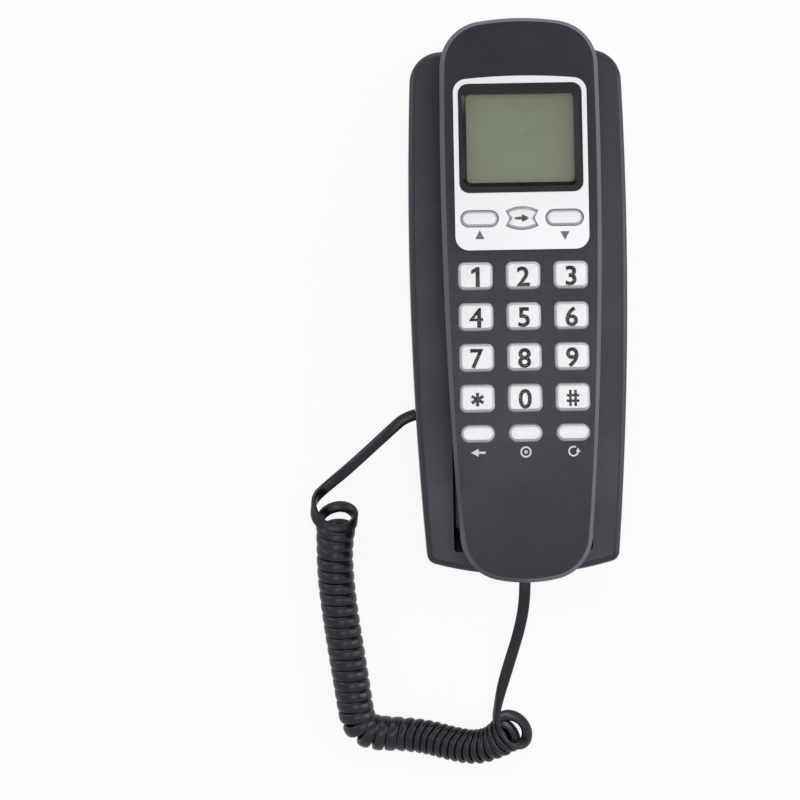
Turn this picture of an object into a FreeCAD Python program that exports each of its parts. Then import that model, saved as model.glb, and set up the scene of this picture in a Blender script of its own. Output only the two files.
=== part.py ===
import FreeCAD, Part
import math
import os
import Sketcher

# Corded landline phone: a handset with a display and keypad, lying in a two-hollow base.
# +X is right, +Y runs to the earpiece end, +Z is up. Millimetres.

Vector = FreeCAD.Vector

SIZES = {
    # Handset in plan: each side and each end is one bowed arc.
    "handset_length": 210,
    "handset_width": 59.4,
    "handset_widest_y": 50,
    "handset_side_radius": 1850,
    "handset_top_radius": 93,
    "handset_top_corner": 17,
    "handset_bottom_radius": 54,
    "handset_bottom_corner": 17,
    # Handset from the side.
    "handset_wall": 2,
    "parting_height": 41,
    "face_height": 55,
    "face_radius": 1400,
    "bevel_width": 2.6,
    "bevel_drop": 1.7,
    "rim_step": 0.7,
    "rear_draft": 0.105,
    "ear_pad_height": 13.3,
    "ear_pad_start": 48,
    "ear_pad_end": 80,
    "mouth_pad_height": 16,
    "mouth_pad_start": -86,
    "mouth_pad_end": -56,
    "grip_height": 30,
    "grip_start": -46,
    "grip_end": 36.5,
    "pad_corner": 6,
    "grip_corner": 10,
    "sound_hole": 2,
    "sound_ring": 7,
    # Base in plan and from the side.
    "base_width": 83.4,
    "base_top_y": 98,
    "base_bottom_y": -104,
    "base_widest_y": 25,
    "base_side_radius": 1500,
    "base_top_radius": 300,
    "base_top_corner": 12,
    "base_bottom_radius": 125,
    "base_bottom_corner": 4,
    "base_cavity_corner": 1.5,
    "base_wall": 2.2,
    "deck_height": 27,
    "deck_edge": 2.5,
    "hollow_clearance": 0.8,
    "hollow_corner": 1.5,
    "seat_gap": 0.3,
    "foot_height": 1.5,
    "foot_diameter": 10,
    "foot_top_inset": 12.7,
    "foot_top_y": 80,
    "foot_bottom_inset": 14.7,
    "foot_bottom_y": -84,
    "bottom_thickness": 2.2,
    "cover_clearance": 0.2,
    # Wall mount: two keyholes in line.
    "keyhole_spacing": 83.3,
    "keyhole_head": 8.6,
    "keyhole_slot": 4.4,
    "keyhole_round": 1.98,
    "keyhole_drop": 7,
    # Screws and their bosses.
    "screw_diameter": 2.6,
    "screw_head": 5,
    "screw_head_height": 1.8,
    "screw_length": 9,
    "screw_clearance": 0.2,
    "boss_wall": 1.4,
    "base_screw_top_inset": 6.7,
    "base_screw_top_y": 60,
    "base_screw_bottom_inset": 9.2,
    "base_screw_bottom_y": -66,
    "handset_screw_x": 15,
    "handset_screw_top_y": 88,
    "handset_screw_bottom_y": -68,
    "screw_shelf": 2,
    # Display.
    "panel_width": 49.4,
    "panel_bottom_y": 18.4,
    "panel_top_y": 83.1,
    "panel_arch": 1.9,
    "panel_corner": 5,
    "panel_depth": 1,
    "panel_proud": 0.4,
    "trim_gap": 0.15,
    "bezel_width": 45.5,
    "bezel_bottom_y": 39.7,
    "bezel_top_y": 80,
    "bezel_corner": 3.5,
    "bezel_proud": 0.2,
    "window_width": 40,
    "window_bottom_y": 43.4,
    "window_top_y": 76.2,
    "window_corner": 1.5,
    "window_slope": 1.6,
    "lens_depth": 4,
    "lens_thickness": 1.2,
    "glass_width": 43,
    "glass_length": 36,
    "glass_thickness": 2.2,
    "glass_gap": 0.2,
    "holder_frame": 2.5,
    # Keys and what lies under them.
    "key_proud": 1.5,
    "key_gap": 0.25,
    "key_flange": 0.8,
    "key_flange_height": 1.2,
    "key_play": 0.3,
    "key_travel": 1,
    "key_rest": 0.3,
    "stem_diameter": 4,
    "digit_width": 12.7,
    "digit_length": 10,
    "digit_corner": 2.2,
    "digit_round": 0.9,
    "column_pitch": 17.6,
    "row_pitch": 15.05,
    "first_row_y": 8.9,
    "function_width": 12.4,
    "function_length": 6.2,
    "function_y": -49.3,
    "menu_width": 13.7,
    "menu_length": 5.8,
    "menu_x": 15.7,
    "menu_y": 30,
    "centre_width": 12,
    "centre_length": 9,
    "centre_waist": 1.1,
    "pill_round": 0.8,
    "board_thickness": 1.6,
    "board_width": 48,
    "board_bottom_y": -62,
    "board_top_y": 82,
    "board_depth": 11.6,
    "mat_thickness": 1.2,
    "mat_width": 46,
    "mat_bottom_y": -56,
    "mat_top_y": 36,
    # Sound.
    "speaker_diameter": 24,
    "speaker_height": 4,
    "magnet_diameter": 15,
    "magnet_height": 3,
    "gasket_height": 0.8,
    "gasket_width": 2.5,
    "microphone_diameter": 9.6,
    "microphone_height": 5.8,
    "boot_wall": 1.3,
    "boot_height": 6.5,
    "buzzer_diameter": 14,
    "buzzer_height": 5,
    "buzzer_x": 11,
    "buzzer_y": -13,
    # Modular jacks and plugs.
    "plug_width": 7.7,
    "plug_height": 6.6,
    "plug_length": 11.7,
    "plug_clearance": 0.15,
    "jack_wall": 1.9,
    "jack_length": 13,
    "jack_y": -42,
    "base_jack_inset": 4.4,
    "base_plug_inset": 1.7,
    "jack_height": 10,
    "line_plug_width": 9.65,
    "handset_jack_height": 33,
    "handset_jack_inset": 13,
    "handset_plug_inset": 5,
    # Hook switch.
    "base_board_width": 42,
    "base_board_length": 56,
    "base_board_y": 2,
    "base_board_height": 8,
    "post_diameter": 5,
    "post_x": 17,
    "post_reach": 23,
    "hook_y": 12,
    "hook_width": 10,
    "hook_length": 6,
    "hook_travel": 3.5,
    "hook_gap": 0.3,
    "hook_flange": 1.6,
    "hook_flange_height": 1.5,
    "switch_width": 12,
    "switch_length": 12,
    "switch_height": 6,
    "spring_outer": 8.4,
    "spring_inner": 6,
    # Cord.
    "wire_diameter": 2.4,
    "coil_radius": 5.8,
    "left_pitch": 3.6,
    "bend_pitch": 4.8,
    "right_pitch": 3.2,
    "floor_gap": 0.05,
    # How far a cutting solid reaches past what it cuts.
    "cut_margin": 6,
}

doc = FreeCAD.newDocument("corded_phone")
sheet = doc.addObject("Spreadsheet::Sheet", "Sizes")
for row, (alias, amount) in enumerate(SIZES.items(), start=1):
    sheet.set(f"A{row}", alias)
    sheet.set(f"B{row}", str(amount))
    sheet.setAlias(f"B{row}", alias)
doc.recompute()


class Size:
    """A length in millimetres, with the expression that gives it from the sheet."""

    def __init__(self, value, text):
        self.value = value
        self.text = text

    def __add__(self, other):
        return Size(self.value + number(other), f"({self.text} + {text(other)})")

    def __sub__(self, other):
        return Size(self.value - number(other), f"({self.text} - {text(other)})")

    def __mul__(self, other):
        return Size(self.value * number(other), f"({self.text} * {text(other)})")

    def __truediv__(self, other):
        return Size(self.value / number(other), f"({self.text} / {text(other)})")

    def __neg__(self):
        return Size(-self.value, f"(0 - {self.text})")

    def root(self):
        return Size(math.sqrt(self.value), f"sqrt({self.text})")


class Sheet:
    """The sheet's sizes, read by name."""

    def __getattr__(self, name):
        return Size(float(sheet.get(name)), f"Sizes.{name}")


size = Sheet()
ZERO = Size(0, "0")
nodes = []
pending = {}


def number(value):
    return value.value if isinstance(value, Size) else float(value)


def text(value):
    return value.text if isinstance(value, Size) else repr(float(value))


# Sketches.


def new_body(name):
    return doc.addObject("PartDesign::Body", name)


def add_sketch(body, name, plane="XY_Plane", offset=None):
    """Attach a sketch to one of the body's own planes, moved along its normal."""
    sketch = body.newObject("Sketcher::SketchObject", name)
    support = next(item for item in body.Origin.OriginFeatures if item.Role == plane)
    sketch.AttachmentSupport = [(support, "")]
    sketch.MapMode = "FlatFace"
    if offset is not None:
        sketch.setExpression("AttachmentOffset.Base.z", text(offset))
    return sketch


def constrain(sketch, kind, *places):
    """Note a constraint that holds two pieces of a drawing together."""
    pending.setdefault(sketch.Name, []).append((Sketcher.Constraint(kind, *places), None))


def bind(sketch, kind, *places, value):
    """Note a dimension and the expression that sets it."""
    dimension = Sketcher.Constraint(kind, *places, number(value))
    pending.setdefault(sketch.Name, []).append((dimension, text(value)))


def settle(sketch):
    """Give a finished drawing its constraints, and each dimension its expression."""
    entries = pending.pop(sketch.Name)
    sketch.addConstraint([constraint for constraint, _ in entries])
    for index, (_, expression) in enumerate(entries):
        if expression is not None:
            sketch.setExpression(f"Constraints[{index}]", expression)


def pin(sketch, geometry, place, x, y):
    bind(sketch, "DistanceX", -1, 1, geometry, place, value=x)
    bind(sketch, "DistanceY", -1, 1, geometry, place, value=y)


def add_arc(sketch, centre, radius, start, end):
    """Draw an arc anticlockwise from the start point to the end point."""
    circle = Part.Circle(centre, Vector(0, 0, 1), radius)
    angles = [math.atan2(spot.y - centre.y, spot.x - centre.x) for spot in (start, end)]
    if angles[1] < angles[0]:
        angles[1] += 2 * math.pi
    return sketch.addGeometry(Part.ArcOfCircle(circle, *angles))


def draw_circle(sketch, x, y, diameter):
    centre = Vector(number(x), number(y), 0)
    circle = sketch.addGeometry(Part.Circle(centre, Vector(0, 0, 1), number(diameter) / 2))
    pin(sketch, circle, 3, x, y)
    bind(sketch, "Radius", circle, value=diameter / 2)


def draw_polygon(sketch, corners):
    """Draw a closed polygon of corners (x, y, radius); a radius of None keeps a corner sharp."""
    spots = [Vector(number(x), number(y), 0) for x, y, _ in corners]
    entries, exits, centres, lefts = [], [], [], []
    for index, (x, y, radius) in enumerate(corners):
        here = spots[index]
        back = (spots[index - 1] - here).normalize()
        onward = (spots[(index + 1) % len(corners)] - here).normalize()
        reach = 0 if radius is None else number(radius) / math.tan(back.getAngle(onward) / 2)
        entries.append(here + back * reach)
        exits.append(here + onward * reach)
        slant = 0 if radius is None else number(radius) / math.sin(back.getAngle(onward) / 2)
        centres.append(here + (back + onward).normalize() * slant)
        lefts.append(onward.cross(back).z > 0)
    sides = []
    for index in range(len(corners)):
        side = Part.LineSegment(exits[index], entries[(index + 1) % len(corners)])
        sides.append(sketch.addGeometry(side))
    for index, (x, y, radius) in enumerate(corners):
        before, after = sides[index - 1], sides[index]
        if radius is None:
            constrain(sketch, "Coincident", before, 2, after, 1)
            pin(sketch, after, 1, x, y)
            continue
        ends = (entries[index], exits[index]) if lefts[index] else (exits[index], entries[index])
        arc = add_arc(sketch, centres[index], number(radius), *ends)
        first, last = (1, 2) if lefts[index] else (2, 1)
        constrain(sketch, "Tangent", before, 2, arc, first)
        constrain(sketch, "Tangent", arc, last, after, 1)
        bind(sketch, "Radius", arc, value=radius)
        corner = sketch.addGeometry(Part.Point(spots[index]), True)
        constrain(sketch, "PointOnObject", corner, 1, before)
        constrain(sketch, "PointOnObject", corner, 1, after)
        pin(sketch, corner, 1, x, y)


def draw_box(sketch, x, y, width, length, radius=None):
    """Draw a rectangle about its centre, with rounded corners."""
    left, right = x - width / 2, x + width / 2
    low, high = y - length / 2, y + length / 2
    corners = [(left, low), (right, low), (right, high), (left, high)]
    draw_polygon(sketch, [(across, along, radius) for across, along in corners])


def draw_pill(sketch, x, y, width, length):
    """Draw a slot with two half-round ends."""
    reach = (width - length) / 2
    spots = [Vector(number(x + reach * sx), number(y + length * sy / 2), 0)
             for sx, sy in ((-1, -1), (1, -1), (1, 1), (-1, 1))]
    low = sketch.addGeometry(Part.LineSegment(spots[0], spots[1]))
    right = add_arc(sketch, (spots[1] + spots[2]) / 2, number(length) / 2, spots[1], spots[2])
    high = sketch.addGeometry(Part.LineSegment(spots[2], spots[3]))
    left = add_arc(sketch, (spots[3] + spots[0]) / 2, number(length) / 2, spots[3], spots[0])
    chain = [low, right, high, left]
    for before, after in zip(chain, chain[1:] + chain[:1]):
        constrain(sketch, "Tangent", before, 2, after, 1)
    bind(sketch, "Radius", right, value=length / 2)
    pin(sketch, right, 3, x + reach, y)
    pin(sketch, left, 3, x - reach, y)


class Outline:
    """Eight arcs in tangent: two bowed sides, two bowed ends and four corners."""

    def __init__(self, width, widest_y, side_radius, top, bottom):
        self.half_width = width / 2
        self.widest_y = widest_y
        self.side_radius = side_radius
        self.top_y, self.top_radius, self.top_corner = top
        self.bottom_y, self.bottom_radius, self.bottom_corner = bottom

    def half_width_at(self, y):
        drop = (self.side_radius * self.side_radius - (y - self.widest_y) * (y - self.widest_y)).root()
        return self.half_width - self.side_radius + drop

    def draw(self, sketch, inset=0, bottom_corner=None):
        """Draw the outline, set in by a wall; all arcs keep their centres."""
        side_x = self.half_width - self.side_radius
        ends = {1: (self.top_y - self.top_radius, self.top_radius, self.top_corner - inset),
                -1: (self.bottom_y + self.bottom_radius, self.bottom_radius,
                     bottom_corner or self.bottom_corner - inset)}
        sides = {1: side_x, -1: -side_x}
        side_radius = self.side_radius - inset
        places = {}
        for across in (1, -1):
            for along in (1, -1):
                end_y, end_radius, corner = ends[along]
                side_centre = Vector(number(sides[across]), number(self.widest_y), 0)
                end_centre = Vector(0, number(end_y), 0)
                centre = meet(side_centre, number(side_radius - corner),
                              end_centre, number(end_radius - inset - corner), across, along)
                on_side = centre + (centre - side_centre).normalize() * number(corner)
                on_end = centre + (centre - end_centre).normalize() * number(corner)
                places[across, along] = (centre, on_side, on_end)
        order = [("side", 1), ("corner", 1, 1), ("end", 1), ("corner", -1, 1),
                 ("side", -1), ("corner", -1, -1), ("end", -1), ("corner", 1, -1)]
        arcs = []
        for piece in order:
            if piece[0] == "side":
                across = piece[1]
                centre = Vector(number(sides[across]), number(self.widest_y), 0)
                arc = add_arc(sketch, centre, number(side_radius),
                              places[across, -across][1], places[across, across][1])
                pin(sketch, arc, 3, sides[across], self.widest_y)
                bind(sketch, "Radius", arc, value=side_radius)
            elif piece[0] == "end":
                along = piece[1]
                end_y, end_radius, corner = ends[along]
                arc = add_arc(sketch, Vector(0, number(end_y), 0), number(end_radius - inset),
                              places[along, along][2], places[-along, along][2])
                pin(sketch, arc, 3, 0, end_y)
                bind(sketch, "Radius", arc, value=end_radius - inset)
            else:
                across, along = piece[1:]
                centre, on_side, on_end = places[across, along]
                turn = (on_side, on_end) if across == along else (on_end, on_side)
                arc = add_arc(sketch, centre, number(ends[along][2]), *turn)
                bind(sketch, "Radius", arc, value=ends[along][2])
            arcs.append(arc)
        for before, after in zip(arcs, arcs[1:] + arcs[:1]):
            constrain(sketch, "Tangent", before, 2, after, 1)


def meet(first, first_radius, second, second_radius, across, along):
    """Where two circles meet, on the side of the outline that is asked for."""
    line = second - first
    span = line.Length
    step = (span * span + first_radius ** 2 - second_radius ** 2) / (2 * span)
    rise = math.sqrt(first_radius ** 2 - step ** 2)
    unit = line / span
    choices = [first + unit * step + Vector(-unit.y, unit.x, 0) * rise * sign for sign in (1, -1)]
    return max(choices, key=lambda spot: spot.y * along + spot.x * across)


# Features.


def pad(body, name, sketch, length):
    settle(sketch)
    feature = body.newObject("PartDesign::Pad", name)
    feature.Profile = sketch
    feature.setExpression("Length", text(length))
    return feature


def pocket(body, name, sketch, length=None, symmetric=False, reverse=False):
    """Cut a sketch through the body, or to a depth; the volume shows that it cut."""
    settle(sketch)
    doc.recompute()
    before = body.Shape.Volume
    feature = body.newObject("PartDesign::Pocket", name)
    feature.Profile = sketch
    if symmetric:
        feature.SideType = "Symmetric"
    if length is None:
        feature.Type = "ThroughAll"
    else:
        feature.setExpression("Length", text(length))
    feature.Reversed = reverse
    doc.recompute()
    if body.Shape.Volume >= before:
        raise ValueError(f"{name} cut nothing")
    return feature


def loft(body, name, sketches):
    for sketch in sketches:
        settle(sketch)
    feature = body.newObject("PartDesign::AdditiveLoft", name)
    feature.Profile = sketches[0]
    feature.Sections = sketches[1:]
    feature.Ruled = True
    return feature


def dress(body, kind, name, edges, radius, second=None):
    """Fillet or chamfer the named edges of the body's last feature."""
    feature = body.newObject(f"PartDesign::{kind}", name)
    feature.Base = (body.Group[-2], edges)
    if kind == "Fillet":
        feature.setExpression("Radius", text(radius))
        return feature
    feature.setExpression("Size", text(radius))
    if second is not None:
        feature.ChamferType = "Two distances"
        feature.setExpression("Size2", text(second))
    return feature


def level_edges(shape, height):
    """Names of the edges that lie in one horizontal plane."""
    names = []
    for index, edge in enumerate(shape.Edges, start=1):
        box = edge.BoundBox
        if abs(box.ZMin - height) < 1e-4 and abs(box.ZMax - height) < 1e-4:
            names.append(f"Edge{index}")
    return names


def edges_of(shape, border):
    """Names of the edges round one face or wire."""
    names = []
    for index, edge in enumerate(shape.Edges, start=1):
        if any(edge.isSame(other) for other in border.Edges):
            names.append(f"Edge{index}")
    return names


def combine(kind, name, base, tool):
    feature = doc.addObject(f"Part::{kind}", name)
    feature.Base = base
    feature.Tool = tool
    return feature


def join(name, shapes):
    feature = doc.addObject("Part::MultiFuse", name)
    feature.Shapes = shapes
    return feature


def prism(name, draw, low, high):
    """A straight block between two heights, from a drawing of one or more loops."""
    sketch = doc.addObject("Sketcher::SketchObject", name + "_drawing")
    sketch.setExpression("Placement.Base.z", text(low))
    draw(sketch)
    settle(sketch)
    feature = doc.addObject("Part::Extrusion", name)
    feature.Base = sketch
    feature.Dir = Vector(0, 0, 1)
    feature.Solid = True
    feature.setExpression("LengthFwd", text(high - low))
    return feature


def block(name, x, y, z, width, length, height):
    """A plain box about a centre in plan, standing on z."""
    feature = doc.addObject("Part::Box", name)
    for prop, value in (("Length", width), ("Width", length), ("Height", height)):
        feature.setExpression(prop, text(value))
    for axis, value in (("x", x - width / 2), ("y", y - length / 2), ("z", z)):
        feature.setExpression(f"Placement.Base.{axis}", text(value))
    return feature


def cylinder(name, x, y, low, high, diameter):
    feature = doc.addObject("Part::Cylinder", name)
    feature.setExpression("Radius", text(diameter / 2))
    feature.setExpression("Height", text(high - low))
    for axis, value in (("x", x), ("y", y), ("z", low)):
        feature.setExpression(f"Placement.Base.{axis}", text(value))
    return feature


def publish(feature, name):
    """Name a finished piece and list it for writing."""
    feature.Label = name
    nodes.append(feature)
    return feature


def four_corners(top_x, top_y, bottom_x, bottom_y):
    return [(-top_x, top_y), (top_x, top_y), (-bottom_x, bottom_y), (bottom_x, bottom_y)]


# Shared outlines and heights.

HANDSET = Outline(
    size.handset_width, size.handset_widest_y, size.handset_side_radius,
    (size.handset_length / 2, size.handset_top_radius, size.handset_top_corner),
    (-size.handset_length / 2, size.handset_bottom_radius, size.handset_bottom_corner))
BASE = Outline(
    size.base_width, size.base_widest_y, size.base_side_radius,
    (size.base_top_y, size.base_top_radius, size.base_top_corner),
    (size.base_bottom_y, size.base_bottom_radius, size.base_bottom_corner))

reach = size.handset_length / 2 + size.cut_margin
lens_height = size.face_height - size.lens_depth
board_height = size.face_height - size.board_depth
board_top = board_height + size.board_thickness
mat_top = board_top + size.mat_thickness
bottom_top = size.foot_height + size.bottom_thickness
ear_floor = size.ear_pad_height + size.handset_wall
mouth_floor = size.mouth_pad_height + size.handset_wall
bezel_y = (size.bezel_bottom_y + size.bezel_top_y) / 2
bezel_length = size.bezel_top_y - size.bezel_bottom_y
ear_y = (size.ear_pad_start + size.ear_pad_end) / 2
mouth_y = (size.mouth_pad_start + size.mouth_pad_end) / 2
base_half = size.base_width / 2
base_jack_x = base_half - size.base_jack_inset
base_plug_end = base_half - size.base_plug_inset
handset_jack_y = size.handset_jack_inset - size.handset_length / 2
handset_plug_end = size.handset_plug_inset - size.handset_length / 2
base_board_top = size.base_board_height + size.board_thickness
boss_diameter = size.screw_head + size.screw_clearance + size.boss_wall * 2
shank_bore = size.screw_diameter + size.screw_clearance
head_bore = size.screw_head + size.screw_clearance
handset_screws = four_corners(size.handset_screw_x, size.handset_screw_top_y,
                              size.handset_screw_x, size.handset_screw_bottom_y)
base_screws = four_corners(base_half - size.base_screw_top_inset, size.base_screw_top_y,
                           base_half - size.base_screw_bottom_inset, size.base_screw_bottom_y)


def face_at(y):
    """Height of the handset's bowed face."""
    return size.face_height - size.face_radius + (size.face_radius * size.face_radius - y * y).root()


def cut_bow(body, name, rise, above):
    """Cut away what lies above, or below, a bow parallel to the handset's face."""
    radius = size.face_radius + rise
    centre_z = size.face_height - size.face_radius
    edge_z = size.face_height + size.cut_margin if above else size.parting_height - size.cut_margin
    end_z = centre_z + (radius * radius - reach * reach).root()
    sketch = add_sketch(body, name + "_drawing", "YZ_Plane")
    spots = [Vector(number(along), number(height), 0) for along, height in
             ((-reach, end_z), (-reach, edge_z), (reach, edge_z), (reach, end_z))]
    sides = [sketch.addGeometry(Part.LineSegment(*pair)) for pair in zip(spots, spots[1:])]
    arc = add_arc(sketch, Vector(0, number(centre_z), 0), number(radius), spots[3], spots[0])
    chain = sides + [arc]
    for before, after in zip(chain, chain[1:] + chain[:1]):
        constrain(sketch, "Coincident", before, 2, after, 1)
    pin(sketch, arc, 3, 0, centre_z)
    bind(sketch, "Radius", arc, value=radius)
    pin(sketch, sides[1], 1, -reach, edge_z)
    pin(sketch, sides[1], 2, reach, edge_z)
    bind(sketch, "DistanceX", -1, 1, sides[0], 1, value=-reach)
    bind(sketch, "DistanceX", -1, 1, sides[2], 2, value=reach)
    pocket(body, name, sketch, symmetric=True)


def bowed_block(name, draw, floor, low=None, high=None):
    """A block standing on a floor height, cut to bows below and above the handset's face."""
    body = new_body(name)
    sketch = add_sketch(body, name + "_plan", offset=floor)
    draw(sketch)
    pad(body, name + "_pad", sketch, size.face_height + size.bevel_drop - floor)
    if high is not None:
        cut_bow(body, name + "_top", high, True)
    if low is not None:
        cut_bow(body, name + "_underside", low, False)
    return body


# Handset covers.


def half_turn_factor(run, rise):
    """How far a corner of the side profile moves along, for each millimetre of wall."""
    return ((run * run + rise * rise).root() - run) / rise


def draw_rear_profile(sketch, wall=None):
    """Everything under the handset's rear: two pads, the grip between them and the ends."""
    inset = wall if wall is not None else ZERO
    top_y = size.handset_length / 2 - size.rim_step
    ear_rise = size.parting_height - size.ear_pad_height
    mouth_rise = size.parting_height - size.mouth_pad_height
    top_run = top_y - size.ear_pad_end
    bottom_run = size.mouth_pad_start + top_y
    ear_shift = inset * half_turn_factor(top_run, ear_rise)
    mouth_shift = inset * half_turn_factor(bottom_run, mouth_rise)
    ear_inner = inset * half_turn_factor(size.ear_pad_start - size.grip_end,
                                         size.grip_height - size.ear_pad_height)
    mouth_inner = inset * half_turn_factor(size.grip_start - size.mouth_pad_end,
                                           size.grip_height - size.mouth_pad_height)
    top_shift = inset * (top_run * top_run + ear_rise * ear_rise).root() / ear_rise
    bottom_shift = inset * (bottom_run * bottom_run + mouth_rise * mouth_rise).root() / mouth_rise
    low = size.ear_pad_height - size.cut_margin
    pad_corner = size.pad_corner - inset
    grip_corner = size.grip_corner + inset
    draw_polygon(sketch, [
        (-reach, size.parting_height, None),
        (bottom_shift - top_y, size.parting_height, None),
        (size.mouth_pad_start + mouth_shift, size.mouth_pad_height + inset, pad_corner),
        (size.mouth_pad_end - mouth_inner, size.mouth_pad_height + inset, pad_corner),
        (size.grip_start - mouth_inner, size.grip_height + inset, grip_corner),
        (size.grip_end + ear_inner, size.grip_height + inset, grip_corner),
        (size.ear_pad_start + ear_inner, size.ear_pad_height + inset, pad_corner),
        (size.ear_pad_end - ear_shift, size.ear_pad_height + inset, pad_corner),
        (top_y - top_shift, size.parting_height, None),
        (reach, size.parting_height, None),
        (reach, low, None),
        (-reach, low, None),
    ])


def rear_block(name, wall=None):
    """The handset's rear as a solid: a drafted loft, cut to the side profile."""
    body = new_body(name)
    inset = wall if wall is not None else ZERO
    low = size.ear_pad_height - size.foot_height
    rim = add_sketch(body, name + "_rim", offset=size.parting_height)
    HANDSET.draw(rim, inset)
    foot = add_sketch(body, name + "_foot", offset=low)
    HANDSET.draw(foot, inset + size.rear_draft * (size.parting_height - low))
    loft(body, name + "_loft", [rim, foot])
    profile = add_sketch(body, name + "_profile", "YZ_Plane")
    draw_rear_profile(profile, wall)
    pocket(body, name + "_cut", profile, symmetric=True)
    return body


def sound_holes(name, y, floor):
    """A round cluster of holes through a pad."""
    def draw(sketch):
        draw_circle(sketch, ZERO, y, size.sound_hole)
        for step in range(6):
            turn = math.radians(60 * step)
            draw_circle(sketch, size.sound_ring * math.cos(turn), y + size.sound_ring * math.sin(turn),
                        size.sound_hole)
    return prism(name, draw, floor - size.handset_wall * 2, floor + size.handset_wall)


def make_rear_cover():
    outer = rear_block("rear_outer")
    cavity = rear_block("rear_cavity", size.handset_wall)
    posts = [cylinder(f"rear_post_{index}", x, y, size.ear_pad_height, size.parting_height, boss_diameter)
             for index, (x, y) in enumerate(handset_screws)]
    hollow = combine("Cut", "rear_hollow", cavity, join("rear_posts", posts))
    shell = combine("Cut", "rear_shell", outer, hollow)
    shelf = size.parting_height - size.screw_shelf
    low = size.ear_pad_height - size.cut_margin
    tools = []
    for index, (x, y) in enumerate(handset_screws):
        tools.append(cylinder(f"rear_head_bore_{index}", x, y, low, shelf, head_bore))
        tools.append(cylinder(f"rear_shank_bore_{index}", x, y, low, size.face_height, shank_bore))
    tools.append(sound_holes("ear_holes", ear_y, size.ear_pad_height))
    tools.append(sound_holes("mouth_holes", mouth_y, size.mouth_pad_height))
    tools.append(block("handset_plug_way", ZERO, -reach, size.handset_jack_height
                       - size.plug_height / 2 - size.plug_clearance,
                       size.plug_width + size.plug_clearance * 2,
                       (reach + handset_jack_y) * 2,
                       size.plug_height + size.plug_clearance * 2))
    publish(combine("Cut", "rear_cover", shell, join("rear_tools", tools)), "handset_rear_cover")


def draw_panel(sketch, gap=None):
    """The display panel: rounded corners, its top edge gently arched."""
    grow = gap if gap is not None else ZERO
    half = size.panel_width / 2 + grow
    low = size.panel_bottom_y - grow
    high = size.panel_top_y - size.panel_arch + grow
    corner = size.panel_corner + grow
    middle = size.panel_top_y + grow
    draw_polygon(sketch, [(-half, low, corner), (half, low, corner), (half, high, corner),
                          (ZERO, middle, half * 3), (-half, high, corner)])


def draw_bezel(sketch, gap=None):
    grow = gap if gap is not None else ZERO
    draw_box(sketch, ZERO, bezel_y, size.bezel_width + grow * 2, bezel_length + grow * 2,
             size.bezel_corner + grow)


def digit_places():
    """Name and place of each digit key, row by row."""
    names = ("1", "2", "3", "4", "5", "6", "7", "8", "9", "star", "0", "hash")
    return [(name, size.column_pitch * (index % 3 - 1), size.first_row_y - size.row_pitch * (index // 3))
            for index, name in enumerate(names)]


FUNCTION_KEYS = (("delete", -1), ("set", 0), ("redial", 1))
MENU_KEYS = (("up", -1), ("down", 1))


def draw_digit(sketch, x, y, gap):
    draw_box(sketch, x, y, size.digit_width + gap * 2, size.digit_length + gap * 2,
             size.digit_corner + gap)


def draw_function(sketch, x, y, gap):
    draw_pill(sketch, x, y, size.function_width + gap * 2, size.function_length + gap * 2)


def draw_menu(sketch, x, y, gap):
    draw_pill(sketch, x, y, size.menu_width + gap * 2, size.menu_length + gap * 2)


def draw_centre(sketch, x, y, gap):
    """The middle key: four corners, its two sides drawn in to a waist."""
    half = size.centre_width / 2 + gap
    high = size.centre_length / 2 + gap
    waist = half - size.centre_waist
    corner = size.pill_round + gap
    wide = size.centre_length
    draw_polygon(sketch, [
        (x - half, y - high + corner, corner), (x, y - high - corner / 2, wide),
        (x + half, y - high + corner, corner), (x + waist, y, wide / 2),
        (x + half, y + high - corner, corner), (x, y + high + corner / 2, wide),
        (x - half, y + high - corner, corner), (x - waist, y, wide / 2)])


def key_places():
    """Each key: node name, drawing, place, rise above the face and edge rounding."""
    keys = []
    for name, x, y in digit_places():
        keys.append((f"key_{name}", draw_digit, x, y, size.digit_round))
    for name, column in FUNCTION_KEYS:
        keys.append((f"key_{name}", draw_function, size.column_pitch * column, size.function_y,
                     size.pill_round))
    for name, column in MENU_KEYS:
        keys.append((f"key_{name}", draw_menu, size.menu_x * column, size.menu_y, size.pill_round))
    keys.append(("key_out", draw_centre, ZERO, size.menu_y, size.pill_round))
    return keys


def key_openings(name, shapes):
    """Openings for the keys of the given shapes, right through the face."""
    return [prism(f"{name}_{key}", lambda sketch, draw=draw, x=x, y=y: draw(sketch, x, y, size.key_gap),
                  board_top, size.face_height + size.cut_margin)
            for key, draw, x, y, _ in key_places() if draw in shapes]


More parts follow.
